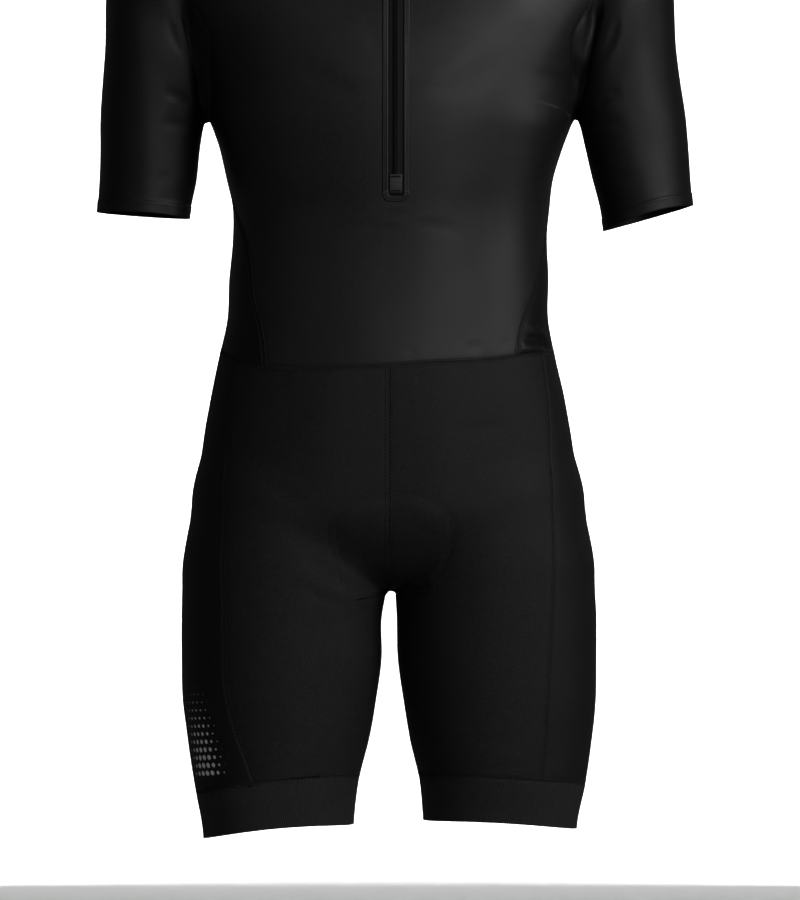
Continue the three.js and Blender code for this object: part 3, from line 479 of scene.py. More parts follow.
def steadied(at: Points, out: Points, i: Points, j: Points, least: float = 2.5, most: float = 6) -> Grid:
    """Keeps cloth near the solid's own quads where a line to the form has met some other part of it.

    Args:
        at: Rows of points.
        out: Their directions.
        i: Each row's place, a multiple of FINE on the solid's rows.
        j: Each column's place, likewise.
        least: How far a point may stray from the solid's quads before it is drawn back.
        most: How far it strays where it is drawn back all the way.

    Returns:
        The grid of cloth.
    """

    def flat(values: Points) -> Points:
        """Returns the values spread evenly between the corners of the solid's quads."""
        for axis, place in ((0, i), (1, j)):
            own = np.flatnonzero(np.abs(place / FINE - np.round(place / FINE)) < 1e-6)
            share = np.interp(place, place[own], np.arange(len(own)))
            k = np.minimum(share.astype(int), len(own) - 2)
            t = (share - k).reshape((-1, 1, 1) if axis == 0 else (1, -1, 1))
            corners = np.take(values, own, axis=axis)
            values = np.take(corners, k, axis=axis) * (1 - t) + np.take(corners, k + 1, axis=axis) * t
        return values

    level = flat(at)
    share = eased(np.linalg.norm(at - level, axis=-1, keepdims=True), least, most)
    return Grid(at + (level - at) * share, unit(out + (flat(out) - out) * share))


def patch(bottom: Line, top: Line, left: Line, right: Line, core: Core, ends: tuple[bool, bool] = (True, True)) -> Grid:
    """Fills the cloth between four seams.

    Args:
        bottom: Seam at the foot, from left to right.
        top: Seam at the head, from left to right.
        left: Seam up the left edge.
        right: Seam up the right edge.
        core: Where lines to the surface start.
        ends: Whether the left and right edges are sewn, and so have closer columns.

    Returns:
        The grid of cloth.
    """
    i, j = graded(len(left.at) - 1), graded(len(bottom.at) - 1, *ends)
    v, u = (i / i[-1])[:, None, None], (j / j[-1])[None, :, None]
    low, high = bottom.places(j).at[None], top.places(j).at[None]
    west, east = left.places(i).at[:, None], right.places(i).at[:, None]
    corners = (1 - u) * (1 - v) * low[:, :1] + u * (1 - v) * low[:, -1:] + (1 - u) * v * high[:, :1] + u * v * high[:, -1:]
    guides = (1 - v) * low + v * high + (1 - u) * west + u * east - corners
    met = FIGURE.meet(guides.reshape(-1, 3), core(guides.reshape(-1, 3)))
    at, out = met.at.reshape(guides.shape), met.out.reshape(guides.shape)
    edges = ((np.s_[0], bottom.places(j)), (np.s_[-1], top.places(j)))
    edges += ((np.s_[:, 0], left.places(i)), (np.s_[:, -1], right.places(i)))
    for mine, side in edges:
        at[mine], out[mine] = side.at, side.out
    grid = steadied(at, out, i, j, 6, 12)
    for mine, side in edges:
        grid.at[mine], grid.out[mine] = side.at, side.out
    return grid


def rows_between(lower: Line, upper: Line, shares: Points, core: Core, bends: Line | None = None) -> Grid:
    """Fills the cloth between two rings, by way of a ring of bends if it is given.

    Args:
        lower: The ring at the foot.
        upper: The ring at the head, with as many points.
        shares: How far up each row lies, from 0 to 1.
        core: Where lines to the surface start.
        bends: A ring that the lengthwise lines bend towards.

    Returns:
        The grid of cloth.
    """
    t = shares[:, None, None]
    guides = (1 - t) * lower.at + t * upper.at
    if bends is not None:
        guides = (1 - t) ** 2 * lower.at + 2 * t * (1 - t) * bends.at + t * t * upper.at
    met = FIGURE.meet(guides.reshape(-1, 3), core(guides.reshape(-1, 3)))
    at, out = met.at.reshape(guides.shape), met.out.reshape(guides.shape)
    for row, ring in ((0, lower), (-1, upper)):
        if shares[row] in (0, 1):
            at[row], out[row] = ring.at, ring.out
    at[:, -1], out[:, -1] = at[:, 0], out[:, 0]
    return Grid(at, out)


@dataclass(frozen=True)
class Fold:
    """A soft trough or ridge in the cloth along a path that shows in one view.

    Attributes:
        path: Points on the form.
        rise: Height in millimetres, less than 0 for a trough.
        width: Half its width at the widest.
        tail: Share of its length over which it fades in at each end.
    """

    path: Points
    rise: float
    width: float
    tail: float = 0.4

    def at(self, p: Points) -> Points:
        """Returns how far the fold lifts the cloth at each point."""
        lift = np.zeros(len(p))
        low, high = self.path.min(0) - self.width, self.path.max(0) + self.width
        near = np.flatnonzero(np.all((p > low) & (p < high), axis=1))
        if not len(near):
            return lift
        path = Curve(self.path).spaced(14) if len(self.path) > 2 else self.path
        steps = np.diff(path, axis=0)
        lengths = np.linalg.norm(steps, axis=1)
        starts = np.concatenate([[0], np.cumsum(lengths)])
        best, run = np.full(len(near), 1e9), np.zeros(len(near))
        for start, step, length, before in zip(path[:-1], steps, lengths, starts):
            t = np.clip(((p[near] - start) @ step) / length**2, 0, 1)
            away = np.linalg.norm(p[near] - start - t[:, None] * step, axis=1)
            closer = away < best
            best, run = np.where(closer, away, best), np.where(closer, before + t * length, run)
        share = run / starts[-1]
        fade = eased(share, 0, self.tail) * eased(1 - share, 0, self.tail)
        spread = self.width * (0.55 + 0.45 * fade)
        lift[near] = self.rise * fade * np.maximum(1 - (best / spread) ** 2, 0) ** 2
        return lift


@dataclass
class Drape:
    """The creases of the worn cloth, placed one by one."""

    folds: list[Fold] = field(default_factory=list)

    def add(self, path: Points, *heights: tuple[float, float], tail: float = 0.4) -> None:
        """Adds a trough or ridge along a path, or several on top of each other, by rise and width."""
        self.folds += [Fold(path, rise, width, tail) for rise, width in heights]

    def lay(self) -> "Drape":
        """Places every crease of the suit.

        Returns:
            The drape itself.
        """
        # Two short creases over the hip, at the waist on the wearer's left
        self.add(front_at([(121, -435), (133, -440), (145, -448)]), (2.4, 6.5), tail=0.3)
        self.add(front_at([(123, -443.5), (134, -448), (146, -455)]), (-3.4, 6), tail=0.25)
        self.add(front_at([(113, -456), (129, -455), (143, -454.5)]), (3.2, 6.5), tail=0.25)
        # Pull lines out of the underarms, front and back
        for sign in (-1, 1):
            reach = sign * 1.0
            self.add(front_at([(reach * 162, -212), (reach * 146, -206), (reach * 124, -206)]), (-0.8, 9), tail=0.3)
            self.add(front_at([(reach * 163, -198), (reach * 150, -188), (reach * 134, -180)]), (-0.6, 8))
            self.add(front_at([(reach * 160, -228), (reach * 143, -229), (reach * 126, -235)]), (-0.6, 8))
            self.add(back_at([(reach * 158, -205), (reach * 138, -196), (reach * 108, -194)]), (-1.7, 9), tail=0.3)
            self.add(back_at([(reach * 158, -224), (reach * 140, -226), (reach * 118, -236)]), (-1.2, 8))
            self.add(back_at([(reach * 70, -412), (reach * 38, -404), (reach * 4, -408)]), (-1.1, 10))
            self.add(back_at([(reach * 84, -392), (reach * 50, -380), (reach * 16, -384)]), (-0.8, 9))
            # The deep crease between the arm and the chest or back, along the armhole
            crease = [(reach * 175, -232), (reach * 177, -206), (reach * 180, -178), (reach * 186, -152), (reach * 194, -124)]
            self.add(front_at(crease), (-5.0, 9), tail=0.25)
            self.add(back_at([(x + sign * 2, z) for x, z in crease]), (-4.0, 9), tail=0.25)
        # Across the chest and under it, where the zip holds the cloth
        self.add(front_at([(-92, -190), (-58, -214), (-22, -222)]), (-0.9, 16))
        self.add(front_at([(100, -184), (66, -213), (26, -222)]), (-1.1, 17))
        self.add(front_at([(-16, -331), (3, -334), (26, -331)]), (-0.9, 4.5), (0.5, 9))
        self.add(front_at([(-60, -352), (-20, -345), (6, -341)]), (-0.4, 9))
        self.add(front_at([(70, -350), (40, -344), (14, -341)]), (-0.4, 8))
        self.add(front_at([(-34, -150), (-20, -164), (-13, -186)]), (-0.5, 8))
        self.add(back_at([(-52, -428), (-6, -421), (40, -430)]), (-1.3, 10))
        self.add(back_at([(-30, -366), (8, -360), (44, -368)]), (-0.6, 10))
        # Where the waist seam gathers a little
        for x, z, rise, width in (
            (-104, -482, -0.8, 5), (-72, -485, -0.6, 4), (-30, -483, -0.7, 5), (22, -481, -0.6, 4.5),
            (58, -478, -0.8, 5), (96, -474, -0.7, 4), (-88, -461, -0.5, 4), (-46, -462, -0.6, 5),
            (14, -460, -0.5, 4.5), (72, -455, -0.7, 5), (100, -452, -0.5, 4),
        ):
            self.add(front_at([(x - 7, z + 1), (x + 2, z), (x + 13, z + 1.5)]), (rise, width), tail=0.5)
        # Long, faint pulls in the shorts
        self.add(front_at([(-124, -516), (-90, -524), (-50, -522)]), (-0.6, 9))
        self.add(front_at([(-110, -541), (-74, -552), (-34, -553)]), (-0.5, 9))
        self.add(front_at([(118, -522), (80, -530), (44, -528)]), (-0.6, 9))
        self.add(front_at([(132, -560), (96, -585), (62, -604)]), (-0.8, 11))
        self.add(front_at([(-134, -566), (-98, -590), (-66, -606)]), (-0.8, 11))
        # The groin, from the crotch up and out, and the fold under the pad
        self.add(front_at([(-28, -682), (-56, -664), (-92, -636)]), (-0.8, 11))
        self.add(front_at([(26, -680), (54, -662), (90, -634)]), (-1.0, 11))
        self.add(front_at([(-30, -694), (-62, -686), (-98, -668)]), (-0.6, 9))
        self.add(front_at([(26, -692), (58, -686), (96, -664)]), (-0.7, 9))
        self.add(front_at([(36, -672.5), (22, -675), (4, -671)]), (-2.2, 4.5), tail=0.2)
        self.add(front_at([(30, -667), (16, -668), (2, -664)]), (0.9, 6))
        self.add(front_at([(-24, -672), (-14, -668), (-5, -664)]), (-0.6, 5))
        # Behind: under the seat and behind the thighs
        for sign in (-1, 1):
            self.add(back_at([(sign * 16, -668), (sign * 56, -682), (sign * 104, -676)]), (-2.0, 12), tail=0.35)
            self.add(back_at([(sign * 22, -690), (sign * 60, -700), (sign * 100, -696)]), (-1.1, 9))
            self.add(back_at([(sign * 72, -752), (sign * 104, -760), (sign * 132, -752)]), (-0.6, 9))
            self.add(front_at([(sign * 60, -812), (sign * 92, -818), (sign * 128, -812)]), (-0.35, 9))
            self.add(front_at([(sign * 66, -838), (sign * 96, -843), (sign * 122, -840)]), (-0.5, 6))
        # The sleeves: at the bend of the armhole, and pulls round the arm
        for side, middle in ((Side.RIGHT, 222), (Side.LEFT, 224)):
            sign = side.value
            self.add(front_at([(sign * (middle - 36), -232), (sign * (middle - 24), -222), (sign * (middle - 8), -219)]), (-1.5, 7), tail=0.3)
            self.add(front_at([(sign * (middle - 38), -252), (sign * (middle - 22), -247), (sign * (middle - 2), -250)]), (-0.9, 7))
            self.add(front_at([(sign * (middle - 30), -186), (sign * (middle - 20), -168), (sign * (middle - 16), -146)]), (-1.3, 7))
            self.add(front_at([(sign * (middle - 26), -292), (sign * (middle - 4), -299), (sign * (middle + 20), -296)]), (-0.5, 8))
            self.add(back_at([(sign * (middle - 36), -226), (sign * (middle - 22), -214), (sign * (middle - 2), -210)]), (-1.5, 8), tail=0.3)
            self.add(back_at([(sign * (middle - 34), -252), (sign * (middle - 16), -246), (sign * (middle + 6), -250)]), (-0.8, 7))
        return self

    def lift(self, p: Points) -> Points:
        """Returns how far the cloth stands off the form at each point."""
        total = np.zeros(len(p))
        for fold in self.folds:
            total += fold.at(p)
        # A slow unevenness of the knit, on waves that don't repeat
        for size, x, y, z, shift in ((0.14, 0.043, 0.021, 0.031, 0.4), (0.1, -0.061, 0.05, 0.047, 1.7), (0.07, 0.09, 0.03, -0.11, 2.9)):
            total += size * np.sin(p[:, 0] * x + p[:, 1] * y + p[:, 2] * z + shift)
        return total


class Wiring:
    """Adds and links the nodes of one tree."""

    def __init__(self, tree: bpy.types.NodeTree) -> None:
        """Takes the tree that the nodes go into."""
        self.tree = tree

    def add(self, kind: str, settings: dict | None = None, inputs: dict | None = None) -> bpy.types.Node:
        """Adds a node.

        Args:
            kind: The node's type.
            settings: Its own settings, set first. "stops" sets a ramp's places and greys or colours.
            inputs: Values or links, by the socket's name or number.

        Returns:
            The node.
        """
        node = self.tree.nodes.new(kind)
        for name, value in (settings or {}).items():
            if name == "stops":
                self._stops(node.color_ramp, value)
            else:
                setattr(node, name, value)
        for name, value in (inputs or {}).items():
            if isinstance(value, Value):
                self.tree.links.new(value.socket, node.inputs[name])
            else:
                node.inputs[name].default_value = value
        return node

    @staticmethod
    def _stops(ramp: bpy.types.ColorRamp, stops: Sequence[tuple[float, tuple[float, ...]]]) -> None:
        """Sets a ramp's stops, in order."""
        while len(ramp.elements) < len(stops):
            ramp.elements.new(0.5)
        for element, (place, colour) in zip(ramp.elements, stops):
            element.position = place
            element.color = (*colour, 1)

    def value(self, node: bpy.types.Node, output: int | str = 0) -> "Value":
        """Returns one output of a node for use in expressions."""
        return Value(self, node.outputs[output])

    def math(self, operation: str, *terms: "Value | float") -> "Value":
        """Adds a Math node and returns its result."""
        return self.value(self.add("ShaderNodeMath", {"operation": operation}, dict(enumerate(terms))))

    def vector(self, operation: str, *terms: "Value | tuple") -> "Value":
        """Adds a Vector Math node and returns its result."""
        return self.value(self.add("ShaderNodeVectorMath", {"operation": operation}, dict(enumerate(terms))))


class Value:
    """A socket whose arithmetic adds Math nodes."""

    def __init__(self, wiring: Wiring, socket: bpy.types.NodeSocket) -> None:
        """Takes the wiring and the output socket."""
        self.wiring = wiring
        self.socket = socket

    def __add__(self, other: "Value | float") -> "Value":
        """Returns self + other."""
        return self.wiring.math("ADD", self, other)

    def __radd__(self, other: float) -> "Value":
        """Returns other + self."""
        return self.wiring.math("ADD", other, self)

    def __sub__(self, other: "Value | float") -> "Value":
        """Returns self - other."""
        return self.wiring.math("SUBTRACT", self, other)

    def __rsub__(self, other: float) -> "Value":
        """Returns other - self."""
        return self.wiring.math("SUBTRACT", other, self)

    def __mul__(self, other: "Value | float") -> "Value":
        """Returns self * other."""
        return self.wiring.math("MULTIPLY", self, other)

    def __rmul__(self, other: float) -> "Value":
        """Returns other * self."""
        return self.wiring.math("MULTIPLY", other, self)

    def __truediv__(self, other: "Value | float") -> "Value":
        """Returns self / other."""
        return self.wiring.math("DIVIDE", self, other)

    def __pow__(self, other: float) -> "Value":
        """Returns self to the power of other."""
        return self.wiring.math("POWER", self, other)

    def __abs__(self) -> "Value":
        """Returns the size of self without its sign."""
        return self.wiring.math("ABSOLUTE", self)

    def wave(self) -> "Value":
        """Returns the sine of self, where 1 is a whole turn."""
        return self.wiring.math("SINE", self * (2 * math.pi))

    def fract(self) -> "Value":
        """Returns what is left of self over a whole number."""
        return self.wiring.math("FRACT", self)

    def floor(self) -> "Value":
        """Returns the whole number at or under self."""
        return self.wiring.math("FLOOR", self)

    def top(self, other: "Value | float") -> "Value":
        """Returns the larger of the two."""
        return self.wiring.math("MAXIMUM", self, other)

    def rise(self, low: float, high: float) -> "Value":
        """Returns 0 at low, 1 at high and an easy rise between them."""
        node = self.wiring.add(
            "ShaderNodeMapRange",
            {"interpolation_type": "SMOOTHSTEP"},
            {"Value": self, "From Min": low, "From Max": high},
        )
        return self.wiring.value(node)


@dataclass(frozen=True)
class Finish:
    """What every finish shares: a black with a slight tint, its roughness and its gloss."""

    name: str
    slot: str
    colour: tuple[float, float, float]
    roughness: float
    gloss: float = 0.5
    metallic: float = 0.0

    def material(self) -> bpy.types.Material:
        """Builds the material, or returns it if it was built before."""
        made = bpy.data.materials.get(self.name)
        if made:
            return made
        made = bpy.data.materials.new(self.name)
        made.use_nodes = True
        made.node_tree.nodes.clear()
        wiring = Wiring(made.node_tree)
        shader = wiring.add("ShaderNodeBsdfPrincipled", None, {"Metallic": self.metallic, "Specular IOR Level": self.gloss})
        output = wiring.add("ShaderNodeOutputMaterial")
        made.node_tree.links.new(shader.outputs[0], output.inputs["Surface"])
        made.diffuse_color = (*self.colour, 1)
        self.paint(wiring, shader)
        return made

    def paint(self, wiring: Wiring, shader: bpy.types.Node) -> None:
        """Wires what changes over the surface into the shader."""
        place = wiring.value(wiring.add("ShaderNodeTexCoord"), "Object")
        cloud = self.noise(wiring, place, 40, 3)
        self.tint(wiring, shader, 0.8 + 0.4 * cloud)
        self.link(wiring, shader, "Roughness", self.roughness - 0.05 + 0.1 * cloud)

    @staticmethod
    def noise(wiring: Wiring, place: Value, scale: float, detail: float, rough: float = 0.55) -> Value:
        """Returns noise from 0 to 1 at a scale in turns for each metre."""
        return wiring.value(
            wiring.add("ShaderNodeTexNoise", None, {"Vector": place, "Scale": scale, "Detail": detail, "Roughness": rough})
        )

    def tint(self, wiring: Wiring, shader: bpy.types.Node, share: Value, pale: Value | None = None) -> None:
        """Sets the colour to the finish's own times a share, paler where a second mask says so."""
        mix = wiring.add("ShaderNodeVectorMath", {"operation": "SCALE"}, {"Vector": self.colour, "Scale": share})
        colour = wiring.value(mix)
        if pale is not None:
            lighter = tuple(min(2.2 * part + 0.004, 1) for part in self.colour)
            blend = wiring.add("ShaderNodeMix", {"data_type": "RGBA"}, {"Factor": pale, "B": (*lighter, 1)})
            wiring.tree.links.new(colour.socket, blend.inputs["A"])
            colour = wiring.value(blend, "Result")
        self.link(wiring, shader, "Base Color", colour)

    @staticmethod
    def link(wiring: Wiring, shader: bpy.types.Node, socket: str, value: Value) -> None:
        """Links a value into one of the shader's sockets."""
        wiring.tree.links.new(value.socket, shader.inputs[socket])

    def bump(self, wiring: Wiring, shader: bpy.types.Node, height: Value, depth: float, strength: float = 1.0) -> None:
        """Raises the surface by a height of a depth in metres."""
        node = wiring.add("ShaderNodeBump", None, {"Height": height, "Distance": depth, "Strength": strength})
        self.link(wiring, shader, "Normal", wiring.value(node, "Normal"))


@dataclass(frozen=True)
class Knit(Finish):
    """A stretch knit: rows of small loops, a soft unevenness, and paler worn edges along the seams.

    Attributes:
        wale: Width of a column of loops in metres.
        course: Height of a row of loops in metres.
        depth: Height of the loops in metres.
        ribs: Width of a rib in metres, 0 for none.
        dots: Whether a field of silver dots is printed on it.
    """

    wale: float = 0.00075
    course: float = 0.0006
    depth: float = 0.00006
    ribs: float = 0.0
    dots: bool = False

    def paint(self, wiring: Wiring, shader: bpy.types.Node) -> None:
        """Wires the loops, ribs, unevenness, wear and print."""
        cloth = wiring.value(wiring.add("ShaderNodeUVMap", {"uv_map": "cloth"}), "UV")
        place = wiring.value(wiring.add("ShaderNodeTexCoord"), "Object")
        parts = wiring.add("ShaderNodeSeparateXYZ", None, {"Vector": cloth})
        u, v = wiring.value(parts, "X"), wiring.value(parts, "Y")
        across = u / self.wale
        lean = abs(across.fract() - 0.5) * 1.1
        loops = (v / self.course + lean).wave() * 0.35 + (across * 0.5).wave().__abs__() * 0.65
        cloud = self.noise(wiring, place, 9, 4)
        fibre = self.noise(wiring, place, 900, 2, 0.7)
        height = loops + fibre * 0.5
        if self.ribs:
            height = height * 0.25 + abs((u / (2 * self.ribs)).wave()) ** 0.7 * 2
        worn = wiring.value(wiring.add("ShaderNodeAttribute", {"attribute_name": "edge"}), "Fac")
        wear = worn * self.noise(wiring, place, 140, 3).rise(0.35, 0.75) * 0.5
        grain = self.noise(wiring, place, 620, 2, 0.6).rise(0.3, 0.7)
        stretched = wiring.value(wiring.add("ShaderNodeCombineXYZ", None, {"X": u * 70, "Y": v * 900}))
        slub = self.noise(wiring, stretched, 1, 3)
        share = (0.62 + 0.3 * cloud + 0.5 * slub) * (0.62 + 0.76 * grain)
        self.tint(wiring, shader, share, wear)
        rough = self.roughness - 0.09 + 0.1 * cloud + 0.1 * grain + 0.06 * worn
        if self.dots:
            rough = self.print_dots(wiring, shader, u, v, rough)
        self.link(wiring, shader, "Roughness", rough)
        self.bump(wiring, shader, height, self.depth if not self.ribs else 0.00026)

    def print_dots(self, wiring: Wiring, shader: bpy.types.Node, u: Value, v: Value, rough: Value) -> Value:
        """Prints a field of silver dots that shrink upwards and sideways.

        Args:
            wiring: The material's wiring.
            shader: The material's shader.
            u: Distance across the cloth.
            v: Distance up the cloth from the band.
            rough: Roughness of the bare cloth.

        Returns:
            The roughness with the print.
        """
        pitch = 0.0074
        row = (v / pitch).floor()
        shift = (row * 0.5).fract()
        x = (u / pitch + shift).fract() - 0.5
        y = (v / pitch).fract() - 0.5
        away = wiring.math("SQRT", x * x + y * y)
        column = (u / pitch + shift).floor() + 0.5 - shift
        low = v.rise(0.010, 0.018)
        size = 0.36 * (1 - (row * pitch).rise(0.02, 0.118)) * (1 - abs(column * pitch + 0.054).rise(0.006, 0.034)) * low
        dot = (size - away).rise(0.0, 0.05)
        base = shader.inputs["Base Color"].links[0].from_socket
        blend = wiring.add("ShaderNodeMix", {"data_type": "RGBA"}, {"Factor": dot, "B": (0.56, 0.56, 0.58, 1)})
        wiring.tree.links.new(base, blend.inputs["A"])
        self.link(wiring, shader, "Base Color", wiring.value(blend, "Result"))
        self.link(wiring, shader, "Metallic", dot * 0.35)
        return rough * (1 - dot) + dot * 0.42


@dataclass(frozen=True)
class Woven(Finish):
    """A woven tape with a fine slanting weave."""

    thread: float = 0.0006

    def paint(self, wiring: Wiring, shader: bpy.types.Node) -> None:
        """Wires the weave."""
        cloth = wiring.value(wiring.add("ShaderNodeUVMap", {"uv_map": "cloth"}), "UV")
        place = wiring.value(wiring.add("ShaderNodeTexCoord"), "Object")
        parts = wiring.add("ShaderNodeSeparateXYZ", None, {"Vector": cloth})
        u, v = wiring.value(parts, "X"), wiring.value(parts, "Y")
        zigzag = abs((u / (8 * self.thread)).fract() - 0.5) * 4
        weave = abs((v / (2 * self.thread) + zigzag).wave()) * 0.6 + abs((u / (2 * self.thread)).wave()) * 0.4
        cloud = self.noise(wiring, place, 60, 3)
        self.tint(wiring, shader, 0.7 + 0.4 * weave + 0.2 * cloud)
        self.link(wiring, shader, "Roughness", self.roughness - 0.05 + 0.12 * cloud)
        self.bump(wiring, shader, weave, 0.00012)


@dataclass(frozen=True)
class Thread(Finish):
    """Sewing thread with a slight twist and lint."""

    def paint(self, wiring: Wiring, shader: bpy.types.Node) -> None:
        """Wires the twist and the lint."""
        place = wiring.value(wiring.add("ShaderNodeTexCoord"), "Object")
        parts = wiring.add("ShaderNodeSeparateXYZ", None, {"Vector": place})
        turn = (wiring.value(parts, "X") + wiring.value(parts, "Y") + wiring.value(parts, "Z")) * 2600
        lint = self.noise(wiring, place, 700, 2)
        self.tint(wiring, shader, 0.75 + 0.5 * lint)
        self.link(wiring, shader, "Roughness", self.roughness - 0.05 + 0.1 * lint)
        self.bump(wiring, shader, turn.wave() + lint, 0.00003)


@dataclass(frozen=True)
class Painted(Finish):
    """Painted metal or moulded plastic: a faint grain, and paler where hands rub it."""

    grain: float = 900

    def paint(self, wiring: Wiring, shader: bpy.types.Node) -> None:
        """Wires the grain and the rubbing."""
        place = wiring.value(wiring.add("ShaderNodeTexCoord"), "Object")
        grain = self.noise(wiring, place, self.grain, 3)
        rub = self.noise(wiring, place, 260, 4).rise(0.55, 0.72) * 0.6
        self.tint(wiring, shader, 0.8 + 0.4 * grain, rub)
        self.link(wiring, shader, "Roughness", self.roughness - 0.06 + 0.14 * grain - 0.08 * rub)
        self.bump(wiring, shader, grain, 0.00002)


@dataclass(frozen=True)
class Ground(Finish):
    """The pale paper of the studio's floor and wall."""

    def paint(self, wiring: Wiring, shader: bpy.types.Node) -> None:
        """Wires a barely seen grain."""
        place = wiring.value(wiring.add("ShaderNodeTexCoord"), "Object")
        grain = self.noise(wiring, place, 3, 4)
        self.tint(wiring, shader, 0.99 + 0.02 * grain)
        self.link(wiring, shader, "Roughness", self.roughness + 0.04 * grain)


class Cloths(Enum):
    """The suit's finishes."""

    TOP = Knit("top_knit_finish", "top_knit", (0.0052, 0.0053, 0.0057), 0.41, gloss=0.34)
    SHORTS = Knit("shorts_knit_finish", "shorts_knit", (0.0082, 0.0080, 0.0081), 0.58, gloss=0.16, depth=0.00008)
    # The sleeves are the top's own knit made darker: painted shade for sleeves that sit back from the key light.
    SLEEVE = Knit("sleeve_knit_finish", "top_knit", (0.0038, 0.0039, 0.0043), 0.43, gloss=0.22)
    # The top's own knit made darker for the side panels: painted shade where they turn away from the key light.
    SIDE = Knit("side_panel_finish", "top_knit", (0.0030, 0.0030, 0.0033), 0.45, gloss=0.2)
    FLANK = Knit("side_knit_finish", "side_knit", (0.0050, 0.0048, 0.0052), 0.56, gloss=0.2)
    PRINTED = Knit("printed_side_knit_finish", "side_knit", (0.0050, 0.0048, 0.0052), 0.56, gloss=0.2, dots=True)
    BAND = Knit("band_knit_finish", "band_knit", (0.0105, 0.0102, 0.0106), 0.66, gloss=0.25, ribs=0.0019)
    TAPE = Woven("zip_tape_finish", "zip_tape", (0.0050, 0.0052, 0.0055), 0.66, gloss=0.15)
    TEETH = Painted("zip_teeth_finish", "zip_plastic", (0.0030, 0.0030, 0.0032), 0.5, gloss=0.2)
    METAL = Painted("zip_metal_finish", "zip_metal", (0.016, 0.016, 0.017), 0.32, metallic=0.4, grain=1500)
    # A paler copy of the thread for the stitches round the zip: painted light, where the raised stitches catch the key
    # light.
    TOPSTITCH = Thread("topstitch_finish", "top_knit", (0.03, 0.03, 0.032), 0.5, gloss=0.4)
    STOP = Painted("zip_stop_finish", "zip_plastic", (0.024, 0.024, 0.025), 0.4)
    THREAD = Thread("thread_finish", "top_knit", (0.0085, 0.0085, 0.0092), 0.5, gloss=0.35)


def make_object(name: str, mesh: bpy.types.Mesh, finish: Finish) -> bpy.types.Object:
    """Puts a mesh into the scene as a piece with a finish."""
    mesh.materials.clear()
    mesh.materials.append(finish.material())
    piece = bpy.data.objects.new(name, mesh)
    bpy.context.scene.collection.objects.link(piece)
    return piece


